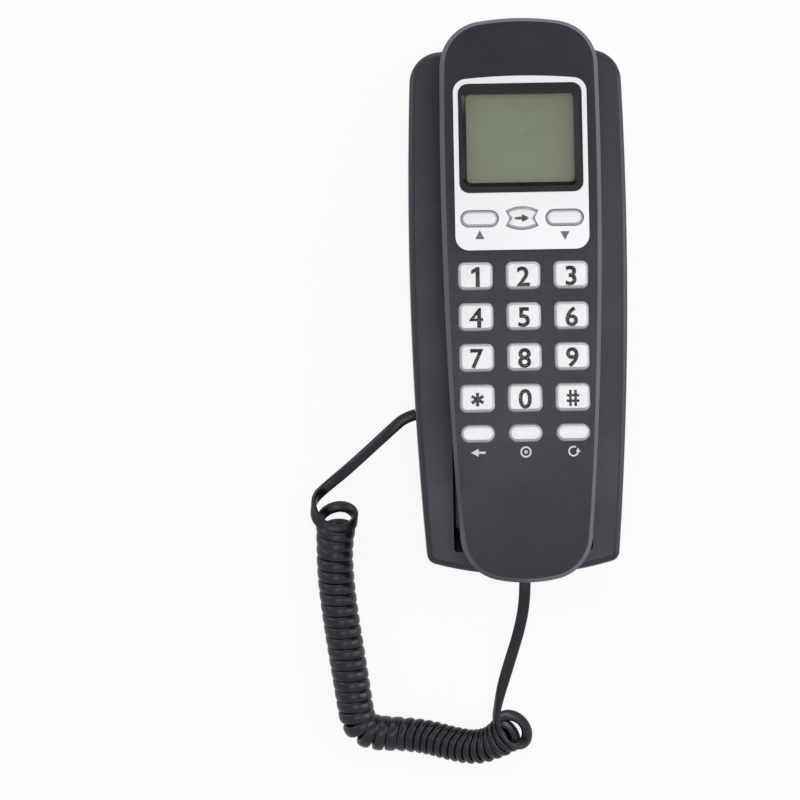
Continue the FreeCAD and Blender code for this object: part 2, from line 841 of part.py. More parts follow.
def make_front_cover():
    outer = bowed_block("front_outer", HANDSET.draw, size.parting_height, high=ZERO)
    face = max(outer.Shape.Faces, key=lambda item: item.CenterOfMass.z)
    dress(outer, "Chamfer", "front_bevel", edges_of(outer.Shape, face),
          size.bevel_width, size.bevel_drop)
    doc.recompute()
    cavity = bowed_block("front_cavity", lambda sketch: HANDSET.draw(sketch, size.handset_wall),
                         size.parting_height, high=-size.handset_wall)
    posts = [cylinder(f"front_post_{index}", x, y, size.parting_height, size.face_height, boss_diameter)
             for index, (x, y) in enumerate(handset_screws)]
    hollow = combine("Cut", "front_hollow", cavity, join("front_posts", posts))
    shell = combine("Cut", "front_shell", outer, hollow)
    tools = [bowed_block("panel_recess", lambda sketch: draw_panel(sketch, size.trim_gap),
                         board_top, low=-size.panel_depth)]
    high = size.face_height + size.cut_margin
    tools.append(prism("display_opening", lambda sketch: draw_bezel(sketch, size.trim_gap),
                       board_top, high))
    tools += key_openings("cover", (draw_digit, draw_function, draw_menu, draw_centre))
    bore_top = size.parting_height - size.screw_shelf + size.screw_length
    for index, (x, y) in enumerate(handset_screws):
        tools.append(cylinder(f"front_bore_{index}", x, y, size.parting_height - size.cut_margin,
                              bore_top + size.screw_clearance, shank_bore))
    publish(combine("Cut", "front_cover", shell, join("front_tools", tools)), "handset_front_cover")


# Display.


def make_display():
    panel = bowed_block("panel_plate", draw_panel, board_top,
                        low=size.trim_gap / 3 - size.panel_depth, high=size.panel_proud)
    high = size.face_height + size.cut_margin
    openings = [prism("panel_window", lambda sketch: draw_bezel(sketch, size.trim_gap), board_top, high)]
    openings += key_openings("panel", (draw_menu, draw_centre))
    publish(combine("Cut", "panel", panel, join("panel_openings", openings)), "display_panel")

    bezel = bowed_block("bezel", draw_bezel, lens_height, high=size.panel_proud + size.bezel_proud)
    window = add_sketch(bezel, "bezel_window_drawing", offset=lens_height)
    window_y = (size.window_bottom_y + size.window_top_y) / 2
    draw_box(window, ZERO, window_y, size.window_width,
             size.window_top_y - size.window_bottom_y, size.window_corner)
    pocket(bezel, "bezel_window", window, reverse=True)
    face = max(bezel.Shape.Faces, key=lambda item: item.CenterOfMass.z)
    opening = next(wire for wire in face.Wires if not wire.isSame(face.OuterWire))
    inner = edges_of(bezel.Shape, opening)
    dress(bezel, "Chamfer", "bezel_slope", inner, size.window_slope)
    publish(bezel, "display_bezel")

    lens_low = lens_height - size.lens_thickness
    publish(prism("lens", draw_bezel, lens_low, lens_height), "display_lens")
    glass_top = lens_low - size.glass_gap
    glass_low = glass_top - size.glass_thickness
    publish(block("glass", ZERO, bezel_y, glass_low, size.glass_width,
                  size.glass_length, size.glass_thickness), "lcd_glass")

    def draw_holder(sketch):
        draw_box(sketch, ZERO, bezel_y, size.glass_width, size.glass_length)
        draw_box(sketch, ZERO, bezel_y, size.glass_width - size.holder_frame * 2,
                 size.glass_length - size.holder_frame * 2)
    publish(prism("holder", draw_holder, board_top, glass_low), "lcd_holder")


# Keys.


def make_key(name, draw, x, y, rounding):
    """A cap through its opening, a flange under the cover and a stem to the mat."""
    flange_top = -size.handset_wall - size.key_play
    body = new_body(name)
    cap = add_sketch(body, name + "_cap_plan", offset=flange_top)
    draw(cap, ZERO, ZERO, ZERO)
    pad(body, name + "_cap", cap, size.key_proud - flange_top)
    doc.recompute()
    dress(body, "Fillet", name + "_edge", level_edges(body.Shape, number(size.key_proud)), rounding)
    flange = add_sketch(body, name + "_flange_plan", offset=flange_top - size.key_flange_height)
    draw(flange, ZERO, ZERO, size.key_flange)
    pad(body, name + "_flange", flange, size.key_flange_height)
    stem_low = mat_top + size.key_travel + size.key_rest - face_at(y)
    stem = add_sketch(body, name + "_stem_plan", offset=stem_low)
    draw_circle(stem, ZERO, ZERO, size.stem_diameter)
    pad(body, name + "_stem", stem, flange_top - size.key_flange_height - stem_low)
    for axis, value in (("x", x), ("y", y), ("z", face_at(y))):
        body.setExpression(f"Placement.Base.{axis}", text(value))
    publish(body, name)


def make_keys():
    for place in key_places():
        make_key(*place)


# Inside the handset.


def make_boards():
    board_length = size.board_top_y - size.board_bottom_y
    board_y = (size.board_top_y + size.board_bottom_y) / 2
    publish(block("board", ZERO, board_y, board_height, size.board_width,
                  board_length, size.board_thickness), "main_circuit_board")
    mat_length = size.mat_top_y - size.mat_bottom_y
    mat_y = (size.mat_top_y + size.mat_bottom_y) / 2
    publish(prism("mat", lambda sketch: draw_box(sketch, ZERO, mat_y, size.mat_width,
                                                 mat_length, size.digit_corner),
                  board_top, mat_top), "keypad_mat")


def make_sound_parts():
    gasket_top = ear_floor + size.gasket_height

    def draw_gasket(sketch):
        draw_circle(sketch, ZERO, ear_y, size.speaker_diameter)
        draw_circle(sketch, ZERO, ear_y, size.speaker_diameter - size.gasket_width * 2)
    publish(prism("gasket", draw_gasket, ear_floor, gasket_top), "speaker_gasket")
    basket_top = gasket_top + size.speaker_height
    basket = cylinder("speaker_basket", ZERO, ear_y, gasket_top, basket_top, size.speaker_diameter)
    magnet = cylinder("speaker_magnet", ZERO, ear_y, gasket_top, basket_top + size.magnet_height,
                      size.magnet_diameter)
    publish(combine("Fuse", "speaker", basket, magnet), "earpiece_speaker")

    boot_bore = size.microphone_diameter + size.plug_clearance * 2

    def draw_boot(sketch):
        draw_circle(sketch, ZERO, mouth_y, boot_bore + size.boot_wall * 2)
        draw_circle(sketch, ZERO, mouth_y, boot_bore)
    publish(prism("boot", draw_boot, mouth_floor, mouth_floor + size.boot_height), "microphone_boot")
    publish(cylinder("capsule", ZERO, mouth_y, mouth_floor, mouth_floor + size.microphone_height,
                     size.microphone_diameter), "microphone")


def screw(name, x, y, head_low):
    """A pan-head screw pointing up."""
    head_top = head_low + size.screw_head_height
    head = cylinder(name + "_head", x, y, head_low, head_top, size.screw_head)
    shank = cylinder(name + "_shank", x, y, head_low, head_top + size.screw_length, size.screw_diameter)
    return combine("Fuse", name, head, shank)


def make_screws():
    low = size.parting_height - size.screw_shelf - size.screw_head_height
    screws = [screw(f"handset_screw_{index}", x, y, low) for index, (x, y) in enumerate(handset_screws)]
    group = doc.addObject("Part::Compound", "handset_screw_set")
    group.Links = screws
    publish(group, "handset_screws")
    screws = [screw(f"base_screw_{index}", x, y, size.foot_height)
              for index, (x, y) in enumerate(base_screws)]
    group = doc.addObject("Part::Compound", "base_screw_set")
    group.Links = screws
    publish(group, "base_screws")


# Base.


def hollow_block(name, pad_height, out_y, out_run, in_y, in_run, half_width, wall):
    """A hollow that follows one of the handset's pads, from its floor to above the deck."""
    body = new_body(name)
    clearance = size.hollow_clearance + wall
    low = pad_height - size.seat_gap - wall
    high = size.deck_height + size.hollow_clearance
    sketches = []
    for height in (low, high):
        climb = height + wall - pad_height
        out_edge = out_y + out_run * climb
        in_edge = in_y + in_run * climb
        outward = clearance if number(out_run) > 0 else -clearance
        sketch = add_sketch(body, f"{name}_{len(sketches)}", offset=height)
        far = out_edge + outward
        near = in_edge - outward
        half = half_width - size.rear_draft * (size.parting_height - height) + clearance
        length = far - near if number(out_run) > 0 else near - far
        draw_box(sketch, ZERO, (far + near) / 2, half * 2, length, size.hollow_corner + wall)
        sketches.append(sketch)
    loft(body, name + "_loft", sketches)
    return body


def hollow_pair(name, wall):
    """Both hollows: one for the ear pad and one for the mouth pad."""
    top_y = size.handset_length / 2 - size.rim_step
    ear_rise = size.parting_height - size.ear_pad_height
    mouth_rise = size.parting_height - size.mouth_pad_height
    ear_inner = size.grip_height - size.ear_pad_height
    mouth_inner = size.grip_height - size.mouth_pad_height
    ear = hollow_block(name + "_ear", size.ear_pad_height,
                       size.ear_pad_end, (top_y - size.ear_pad_end) / ear_rise,
                       size.ear_pad_start, (size.grip_end - size.ear_pad_start) / ear_inner,
                       HANDSET.half_width, wall)
    mouth = hollow_block(name + "_mouth", size.mouth_pad_height,
                         size.mouth_pad_start, (-top_y - size.mouth_pad_start) / mouth_rise,
                         size.mouth_pad_end, (size.grip_start - size.mouth_pad_end) / mouth_inner,
                         HANDSET.half_width_at(size.grip_start), wall)
    return [ear, mouth]


def jack_opening(name, side, width):
    """The way through the base's side wall to a jack."""
    inner = base_jack_x - size.plug_clearance
    depth = size.base_width / 2 + size.cut_margin - inner
    return block(name, (inner + depth / 2) * side, size.jack_y,
                 size.jack_height - size.plug_height / 2 - size.plug_clearance,
                 depth, width + size.plug_clearance * 2, size.plug_height + size.plug_clearance * 2)


def make_base_cover():
    body = new_body("base_outer")
    plan = add_sketch(body, "base_plan", offset=size.foot_height)
    BASE.draw(plan)
    pad(body, "base_block", plan, size.deck_height - size.foot_height)
    doc.recompute()
    dress(body, "Fillet", "base_edge", level_edges(body.Shape, number(size.deck_height)), size.deck_edge)

    ceiling = size.deck_height - size.base_wall
    cavity = new_body("base_cavity")
    cavity_plan = add_sketch(cavity, "base_cavity_plan", offset=size.foot_height)
    BASE.draw(cavity_plan, size.base_wall, size.base_cavity_corner)
    pad(cavity, "base_cavity_block", cavity_plan, ceiling - size.foot_height)
    kept = hollow_pair("tub", size.base_wall)
    kept += [cylinder(f"base_post_{index}", x, y, bottom_top, ceiling, boss_diameter)
             for index, (x, y) in enumerate(base_screws)]
    hollow = combine("Cut", "base_hollow", cavity, join("base_kept", kept))
    shell = combine("Cut", "base_shell", body, hollow)

    tools = hollow_pair("hollow", ZERO)
    bore_top = size.foot_height + size.screw_head_height + size.screw_length + size.screw_clearance
    for index, (x, y) in enumerate(base_screws):
        tools.append(cylinder(f"base_bore_{index}", x, y, size.foot_height, bore_top, shank_bore))
    tools.append(block("hook_opening", ZERO, size.hook_y, ceiling - size.base_wall,
                       size.hook_width + size.hook_gap * 2, size.hook_length + size.hook_gap * 2,
                       size.base_wall * 3))
    tools.append(jack_opening("handset_jack_opening", -1, size.plug_width))
    tools.append(jack_opening("line_jack_opening", 1, size.line_plug_width))
    publish(combine("Cut", "cover", shell, join("base_tools", tools)), "base_cover")


def make_bottom_cover():
    inset = size.base_wall + size.cover_clearance
    plate = new_body("bottom_plate")
    plan = add_sketch(plate, "bottom_plan", offset=size.foot_height)
    BASE.draw(plan, inset, size.base_cavity_corner)
    pad(plate, "bottom_pad", plan, size.bottom_thickness)
    posts = [cylinder(f"board_post_{index}", x, y, size.foot_height, size.base_board_height,
                      size.post_diameter)
             for index, (x, y) in enumerate(four_corners(size.post_x, size.base_board_y + size.post_reach,
                                                         size.post_x, size.base_board_y - size.post_reach))]
    solid = combine("Fuse", "bottom_solid", plate, join("board_posts", posts))
    tools = []
    for index, side in enumerate((1, -1)):
        y = size.keyhole_spacing / 2 * side
        tools.append(cylinder(f"keyhole_{index}", ZERO, y - size.keyhole_drop, size.foot_height
                              - size.cut_margin, bottom_top + size.bottom_thickness, size.keyhole_head))
        slot = prism(f"keyhole_slot_{index}",
                     lambda sketch, y=y: draw_box(sketch, ZERO, y - size.keyhole_drop / 2, size.keyhole_slot,
                                                  size.keyhole_drop + size.keyhole_slot,
                                                  size.keyhole_round),
                     size.foot_height - size.cut_margin, bottom_top + size.bottom_thickness)
        tools.append(slot)
    for index, (x, y) in enumerate(base_screws):
        tools.append(cylinder(f"bottom_head_bore_{index}", x, y, size.foot_height - size.cut_margin,
                              size.foot_height + size.screw_head_height, head_bore))
        tools.append(cylinder(f"bottom_bore_{index}", x, y, size.foot_height - size.cut_margin,
                              bottom_top + size.bottom_thickness, shank_bore))
    publish(combine("Cut", "bottom", solid, join("bottom_tools", tools)), "base_bottom_cover")


def make_feet():
    places = four_corners(base_half - size.foot_top_inset, size.foot_top_y, base_half - size.foot_bottom_inset, size.foot_bottom_y)
    feet = [cylinder(f"foot_{index}", x, y, ZERO, size.foot_height, size.foot_diameter)
            for index, (x, y) in enumerate(places)]
    group = doc.addObject("Part::Compound", "foot_set")
    group.Links = feet
    publish(group, "rubber_feet")


def make_hook():
    publish(block("base_board", ZERO, size.base_board_y, size.base_board_height, size.base_board_width,
                  size.base_board_length, size.board_thickness), "base_circuit_board")
    publish(cylinder("buzzer", size.buzzer_x, size.buzzer_y, base_board_top,
                     base_board_top + size.buzzer_height, size.buzzer_diameter), "ringer_buzzer")
    switch_top = base_board_top + size.switch_height
    publish(block("switch", ZERO, size.hook_y, base_board_top, size.switch_width, size.switch_length,
                  size.switch_height), "hook_switch")
    flange_top = size.deck_height - size.base_wall - size.hook_travel - size.seat_gap
    flange_low = flange_top - size.hook_flange_height
    plunger_top = size.grip_height - size.seat_gap
    cap = new_body("plunger")
    plan = add_sketch(cap, "plunger_plan", offset=flange_low)
    draw_box(plan, ZERO, size.hook_y, size.hook_width, size.hook_length, size.pill_round)
    pad(cap, "plunger_cap", plan, plunger_top - flange_low)
    doc.recompute()
    dress(cap, "Fillet", "plunger_edge", level_edges(cap.Shape, number(plunger_top)), size.pill_round)
    flange = add_sketch(cap, "plunger_flange_plan", offset=flange_low)
    draw_box(flange, ZERO, size.hook_y, size.hook_width + size.hook_flange * 2,
             size.hook_length + size.hook_flange * 2, size.pill_round)
    pad(cap, "plunger_flange", flange, size.hook_flange_height)
    stem = add_sketch(cap, "plunger_stem_plan", offset=switch_top + size.seat_gap)
    draw_circle(stem, ZERO, size.hook_y, size.stem_diameter)
    pad(cap, "plunger_stem", stem, flange_low - switch_top - size.seat_gap)
    publish(cap, "hook_plunger")

    def draw_spring(sketch):
        draw_circle(sketch, ZERO, size.hook_y, size.spring_outer)
        draw_circle(sketch, ZERO, size.hook_y, size.spring_inner)
    publish(prism("spring", draw_spring, switch_top, flange_low - size.trim_gap), "hook_spring")


# Modular jacks and plugs.


def make_side_jack(name, side, plug_width):
    """A jack on the bottom cover, its bore open to the side."""
    bore_width = plug_width + size.plug_clearance * 2
    bore_height = size.plug_height + size.plug_clearance * 2
    housing_height = size.jack_height + bore_height / 2 + size.jack_wall - bottom_top
    middle = (base_jack_x - size.jack_length / 2) * side
    housing = block(name + "_housing", middle, size.jack_y, bottom_top, size.jack_length,
                    bore_width + size.jack_wall * 2, housing_height)
    bore = block(name + "_bore", middle + size.jack_wall * side, size.jack_y,
                 size.jack_height - bore_height / 2, size.jack_length, bore_width, bore_height)
    publish(combine("Cut", name, housing, bore), name)


def make_handset_jack():
    bore_width = size.plug_width + size.plug_clearance * 2
    bore_height = size.plug_height + size.plug_clearance * 2
    middle = handset_jack_y + size.jack_length / 2
    low = size.handset_jack_height - bore_height / 2
    housing = block("handset_jack_housing", ZERO, middle, low - size.jack_wall,
                    bore_width + size.jack_wall * 2, size.jack_length, bore_height + size.jack_wall * 2)
    bore = block("handset_jack_bore", ZERO, middle - size.jack_wall, low, bore_width,
                 size.jack_length, bore_height)
    publish(combine("Cut", "handset_socket", housing, bore), "handset_jack")


def make_plugs():
    x = size.plug_length / 2 - base_plug_end
    publish(block("base_plug", x, size.jack_y, size.jack_height - size.plug_height / 2,
                  size.plug_length, size.plug_width, size.plug_height), "cord_plug_base")
    y = handset_plug_end + size.plug_length / 2
    publish(block("handset_plug", ZERO, y, size.handset_jack_height - size.plug_height / 2,
                  size.plug_width, size.plug_length, size.plug_height), "cord_plug_handset")


# Curly cord.

BASE_TAIL = [(-40, -42, 10), (-44.5, -42.4, 10), (-49, -45.6, 10), (-54.5, -51.4, 10.2),
             (-60.5, -57.8, 10.6), (-66.5, -63.6, 11), (-72, -68.4, 11.2)]
COIL_AXIS = [(-72.6, -78), (-73, -98), (-71.6, -116), (-69, -134), (-66.4, -148), (-62, -159.5),
             (-54, -168), (-43, -172.6), (-30, -173.6), (-18, -172.6), (-8, -170.6)]
HANDSET_TAIL = [(-9.6, -158.6, 2), (-9.8, -150.6, 5.6), (-7.6, -142, 11), (-4.6, -133, 17.6),
                (-1.8, -124, 24.6), (-0.4, -115, 30.4), (0, -107, 33), (0, -100, 33)]


class Route:
    """Straight runs joined by tangent arcs, each as large as its two runs allow."""

    ARC_SHARE = 0.45

    def __init__(self, points):
        self.points = [Vector(*point) for point in points]
        self.pieces = []
        self.radii = []
        last = self.points[0]
        for before, here, after in zip(self.points, self.points[1:], self.points[2:]):
            back, onward = before - here, after - here
            turn = math.pi - back.getAngle(onward)
            trim = self.ARC_SHARE * min(back.Length, onward.Length)
            radius = trim / math.tan(turn / 2)
            back.normalize()
            onward.normalize()
            start, end = here + back * trim, here + onward * trim
            centre = here + (back + onward).normalize() * (radius / math.cos(turn / 2))
            middle = centre + (here - centre).normalize() * radius
            self.pieces.append(Part.LineSegment(last, start).toShape())
            self.pieces.append(Part.Arc(start, middle, end).toShape())
            self.radii.append(radius)
            last = end
        self.pieces.append(Part.LineSegment(last, self.points[-1]).toShape())
        self.length = sum(piece.Length for piece in self.pieces)

    def at(self, distance):
        """Point and direction at a distance along the route."""
        for piece in self.pieces:
            if distance <= piece.Length or piece is self.pieces[-1]:
                place = piece.getParameterByLength(min(max(distance, 0), piece.Length))
                return piece.valueAt(place), piece.tangentAt(place)
            distance -= piece.Length


def tube(edges, diameter):
    """Sweep a round section along tangent edges."""
    wire = Part.Wire(edges)
    first = edges[0]
    start = first.valueAt(first.FirstParameter)
    circle = Part.Circle(start, first.tangentAt(first.FirstParameter), diameter / 2)
    return wire.makePipeShell([Part.Wire(circle.toShape())], True, False)


def biarc(start, start_way, end, end_way):
    """Two arcs in tangent from one point and direction to another."""
    span = end - start
    ways = start_way + end_way
    along = span.dot(ways)
    spread = 2 * (1 - start_way.dot(end_way))
    reach_out = (math.sqrt(along * along + spread * span.dot(span)) - along) / spread
    first, second = start + start_way * reach_out, end - end_way * reach_out
    joint = (first + second) / 2
    edges = []
    for here, corner, there in ((start, first, joint), (joint, second, end)):
        weight = (there - here).Length / (2 * reach_out)
        middle = (here + corner * (2 * weight) + there) / (2 * (1 + weight))
        edges.append(Part.Arc(here, middle, there).toShape())
    return edges


class Coil:
    """The curly stretch: a helix round a bent axis that lies on the surface."""

    STEP = 0.2
    BEND_START = 0.47
    BEND_END = 0.85

    def __init__(self):
        self.radius = number(size.coil_radius)
        height = self.radius + number(size.wire_diameter) / 2 + number(size.floor_gap)
        self.axis = Route([(x, y, height) for x, y in COIL_AXIS])
        self.distances, self.turns = [0.0], [0.5]
        while self.distances[-1] < self.axis.length:
            self.turns.append(self.turns[-1] + self.STEP / self.pitch(self.distances[-1]))
            self.distances.append(self.distances[-1] + self.STEP)
        self.last_turn = math.floor(self.turns[-1] - 0.75) + 0.75

    def pitch(self, distance):
        """Turns open out round the bend and close up after it."""
        share = distance / self.axis.length
        if share < self.BEND_START:
            return number(size.left_pitch)
        if share < self.BEND_END:
            return number(size.bend_pitch)
        return number(size.right_pitch)

    def distance_at(self, turn):
        low = next((index for index, value in enumerate(self.turns) if value >= turn), len(self.turns) - 1)
        if low == 0:
            return 0.0
        share = (turn - self.turns[low - 1]) / (self.turns[low] - self.turns[low - 1])
        return self.distances[low - 1] + share * (self.distances[low] - self.distances[low - 1])

    def point(self, turn):
        centre, way = self.axis.at(self.distance_at(turn))
        side = Vector(0, 0, 1).cross(way)
        angle = 2 * math.pi * turn
        return centre + side * (self.radius * math.cos(angle)) + Vector(0, 0, self.radius * math.sin(angle))

    def way(self, turn):
        ahead = min(turn + 0.002, self.turns[-1])
        behind = max(turn - 0.002, self.turns[0])
        return (self.point(ahead) - self.point(behind)).normalize()

    def edges(self, start, start_way, lead):
        """Quarter-turn biarcs with a straight lead at each end."""
        count = int(round((self.last_turn - self.turns[0]) * 4))
        marks = [self.turns[0] + index / 4 for index in range(count + 1)]
        spots = [start + start_way * lead] + [self.point(mark) for mark in marks]
        ways = [start_way] + [self.way(mark) for mark in marks]
        self.end = spots[-1] + ways[-1] * lead
        self.end_way = ways[-1]
        edges = [Part.LineSegment(start, spots[0]).toShape()]
        for index in range(count + 1):
            edges += biarc(spots[index], ways[index], spots[index + 1], ways[index + 1])
        edges.append(Part.LineSegment(spots[-1], self.end).toShape())
        return edges

    def least_gap(self, diameter):
        """Least clear distance between one turn and the next, on points."""
        share = 24
        count = int((self.last_turn - self.turns[0]) * share)
        spots = [self.point(self.turns[0] + index / share) for index in range(count + 1)]
        least = min((spots[index] - spots[other]).Length
                    for index in range(count + 1)
                    for other in range(index + share // 2, min(count + 1, index + 3 * share)))
        return least - diameter


def cord_node(name, edges):
    diameter = number(size.wire_diameter)
    feature = doc.addObject("Part::Feature", name)
    feature.Shape = tube(edges, diameter)
    length = sum(edge.Length for edge in edges)
    expected = math.pi * diameter ** 2 / 4 * length
    print(f"{name}: length {length:.1f} mm, volume {feature.Shape.Volume:.1f} of {expected:.1f} mm3")
    publish(feature, name)


def make_cord():
    diameter = number(size.wire_diameter)
    base_tail = Route(BASE_TAIL)
    start = base_tail.points[-1]
    coil = Coil()
    coil_edges = coil.edges(start, (start - base_tail.points[-2]).normalize(), diameter)
    print(f"coil turns {coil.last_turn - coil.turns[0]:.2f}, least gap {coil.least_gap(diameter):.2f} mm")
    lead_out = coil.end + coil.end_way * (diameter * 1.5)
    handset_tail = Route([tuple(coil.end), tuple(lead_out)] + HANDSET_TAIL)
    for name, route in (("base tail", base_tail), ("handset tail", handset_tail)):
        print(name, "radii", [round(radius, 1) for radius in route.radii])
    cord_node("cord_tail_base", base_tail.pieces)
    cord_node("cord_coil", coil_edges)
    cord_node("cord_tail_handset", handset_tail.pieces)


def check_document():
    doc.recompute()
    for item in doc.Objects:
        if "Invalid" in item.State or "Error" in item.State:
            raise ValueError(f"{item.Name} failed: {item.State}")
    for item in nodes:
        if item.Shape.isNull() or not item.Shape.isValid():
            raise ValueError(f"{item.Label} has no valid shape")


def write_parts():
    os.makedirs("parts", exist_ok=True)
    for item in nodes:
        item.Shape.exportStep(f"parts/{item.Label}.step")


make_base_cover()
make_bottom_cover()
make_feet()
make_hook()
make_side_jack("handset_cord_jack", -1, size.plug_width)
make_side_jack("line_jack", 1, size.line_plug_width)
make_rear_cover()
make_front_cover()
make_display()
make_keys()
make_boards()
make_sound_parts()
make_handset_jack()
make_plugs()
make_screws()
make_cord()
check_document()
write_parts()
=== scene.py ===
import bisect
import math

import bmesh
import bpy
from bpy.props import FloatProperty, FloatVectorProperty, PointerProperty
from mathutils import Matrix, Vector


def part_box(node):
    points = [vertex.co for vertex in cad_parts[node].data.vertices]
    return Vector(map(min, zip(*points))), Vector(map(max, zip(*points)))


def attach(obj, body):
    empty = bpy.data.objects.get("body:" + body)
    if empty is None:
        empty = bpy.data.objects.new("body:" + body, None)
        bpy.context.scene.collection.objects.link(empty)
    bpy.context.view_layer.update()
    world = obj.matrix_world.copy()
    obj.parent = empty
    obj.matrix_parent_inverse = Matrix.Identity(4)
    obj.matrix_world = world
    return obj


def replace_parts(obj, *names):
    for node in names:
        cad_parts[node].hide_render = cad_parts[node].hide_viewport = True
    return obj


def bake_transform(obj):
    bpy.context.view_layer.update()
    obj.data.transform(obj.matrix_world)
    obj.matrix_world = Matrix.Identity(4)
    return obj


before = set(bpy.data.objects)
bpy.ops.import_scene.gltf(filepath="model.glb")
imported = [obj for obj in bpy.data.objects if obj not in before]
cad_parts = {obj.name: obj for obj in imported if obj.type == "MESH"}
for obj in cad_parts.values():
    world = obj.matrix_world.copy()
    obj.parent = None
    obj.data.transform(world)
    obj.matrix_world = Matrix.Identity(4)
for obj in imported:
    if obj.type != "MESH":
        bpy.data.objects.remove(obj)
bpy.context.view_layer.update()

bl_info = {
    "name": "Corded Phone",
    "version": (1, 0, 0),
    "blender": (4, 5, 0),
    "location": "3D View > Sidebar > Phone",
    "description": "Finishes, crystal keys, signs and curly cord of a corded phone",
    "category": "Object",
}

MM = 0.001
SAME_PLACE = 0.0001 * MM
UP = Vector((0, 0, 1))
QUARTER_TURN = math.pi / 2


def shade(red, green, blue):
    """A colour written as a paint chart gives it, from 0 to 255, as linear light."""
    def linear(part):
        part /= 255
        return part / 12.92 if part <= 0.04045 else ((part + 0.055) / 1.055) ** 2.4
    return linear(red), linear(green), linear(blue)


def colour(name, description, *chart):
    return FloatVectorProperty(name=name, description=description, subtype="COLOR", min=0, max=1,
                               default=shade(*chart))


def length(name, description, millimetres):
    return FloatProperty(name=name, description=description, unit="LENGTH", subtype="DISTANCE",
                         min=0, default=millimetres * MM)


# What a user would change.


class PhoneColours(bpy.types.PropertyGroup):
    """Colours of the phone's finishes, and of the painted light on its bevels."""
    shell: colour("Handset", "Satin plastic of the handset", 25, 24, 31)
    # The bevel colour is a painted highlight: the bevel is the handset's own dark plastic, painted lighter to
    # stand in for the light it reflects.
    bevel: colour("Bevel", "Polished bevel round the handset", 96, 94, 107)
    base: colour("Base", "Smooth plastic of the base", 38, 37, 43)
    bezel: colour("Bezel", "Gloss frame round the display", 8, 8, 10)
    panel: colour("Panel", "Silver paint of the display panel", 238, 238, 241)
    lcd: colour("Display", "Resting display", 117, 124, 101)
    key: colour("Key", "White plastic under the crystal caps", 244, 244, 247)
    # The key rim colour is painted shade: the rim is the key's white plastic, painted grey for the shade
    # under the cap's edge.
    key_rim: colour("Key rim", "Sloping rim under a cap's edge", 206, 206, 211)
    legend: colour("Legend", "Ink of the digits", 14, 14, 16)
    sign: colour("Sign", "White ink on the handset", 225, 225, 228)
    panel_sign: colour("Panel sign", "Grey ink on the display panel", 104, 104, 110)
    cord: colour("Cord", "Soft plastic of the curly cord", 15, 14, 18)


class PhoneKeys(bpy.types.PropertyGroup):
    """Sizes of the crystal keys."""
    flange: length("Flange", "How far a key's flange reaches past its cap", 0.8)
    proud: length("Proud", "How far a cap stands above the face", 1.5)
    depth: length("Crystal depth", "Clear plastic over the white plate", 1.0)
    skirt: length("Skirt", "Sloping white rim round the plate", 0.9)
    skirt_drop: length("Skirt drop", "From the plate down to the foot of its rim", 1.1)
    rounding: length("Rounding", "Rounding of a cap's top edge", 0.7)
    crown: length("Crown", "How far a cap's top swells", 0.15)
    corner: length("Corner", "Corner radius of a digit cap", 2.2)
    waist: length("Waist", "How far the middle key's sides draw in", 1.2)
    flange_height: length("Flange height", "Thickness of the flange", 1.2)
    flange_drop: length("Flange drop", "From the face down to the flange", 2.3)
    stem: length("Stem", "Diameter of the stem to the mat", 4)
    digit: length("Digit height", "Height of a digit", 7.3)
    ink: length("Ink", "Thickness of printed ink", 0.03)


class PhoneCord(bpy.types.PropertyGroup):
    """Sizes of the curly cord."""
    width: length("Width", "The flat cord's width", 4.4)
    thickness: length("Thickness", "The flat cord's thickness", 2.2)
    floor_gap: length("Floor gap", "Room under the turns", 0.1)


class PhoneStage(bpy.types.PropertyGroup):
    """Camera and lamps."""
    camera_place: FloatVectorProperty(name="Camera", description="Where the camera stands",
                                      subtype="XYZ", unit="LENGTH", default=(-0.0462, -0.0363, 0.855))
    camera_roll: FloatProperty(name="Roll", description="Turn of the camera", subtype="ANGLE",
                               default=math.radians(-1.0))
    camera_lens: FloatProperty(name="Lens", description="Focal length in millimetres", default=97.6)
    key_power: FloatProperty(name="Key lamp", description="Power of the softbox", subtype="POWER",
                             default=2.4)
    side_power: FloatProperty(name="Side lamps", description="Power of the strips round the phone",
                              subtype="POWER", default=3)
    sky: FloatProperty(name="Sky", description="Light from all round", default=0.42)


# Mesh helpers.


def add_object(name, shape, material, smooth=False):
    """A new object from a bmesh, which is used up."""
    mesh = bpy.data.meshes.new(name)
    bmesh.ops.remove_doubles(shape, verts=list(shape.verts), dist=SAME_PLACE)
    bmesh.ops.recalc_face_normals(shape, faces=list(shape.faces))
    for face in shape.faces:
        face.smooth = smooth
    shape.to_mesh(mesh)
    shape.free()
    made = bpy.data.objects.new(name, mesh)
    bpy.context.scene.collection.objects.link(made)
    mesh.materials.append(material)
    return made


def add_ring(shape, plan, height):
    return [shape.verts.new((x, y, height)) for x, y in plan]


def add_polygon(shape, spots):
    shape.faces.new(add_ring(shape, spots, 0))


def bridge(shape, low, high):
    count = len(low)
    for index in range(count):
        after = (index + 1) % count
        shape.faces.new((low[index], low[after], high[after], high[index]))


def stack(shape, rings):
    """Close a body through rings of the same count, from its floor to its top."""
    shape.faces.new(list(reversed(rings[0])))
    for low, high in zip(rings, rings[1:]):
        bridge(shape, low, high)
    shape.faces.new(rings[-1])


def thicken(shape, height):
    """Turn flat faces into a plate of some thickness."""
    grown = bmesh.ops.extrude_face_region(shape, geom=list(shape.faces))
    moved = [item for item in grown["geom"] if isinstance(item, bmesh.types.BMVert)]
    bmesh.ops.translate(shape, vec=(0, 0, height), verts=moved)


def circle_plan(x, y, radius, count=24):
    turns = [math.tau * index / count for index in range(count)]
    return [(x + radius * math.cos(turn), y + radius * math.sin(turn)) for turn in turns]


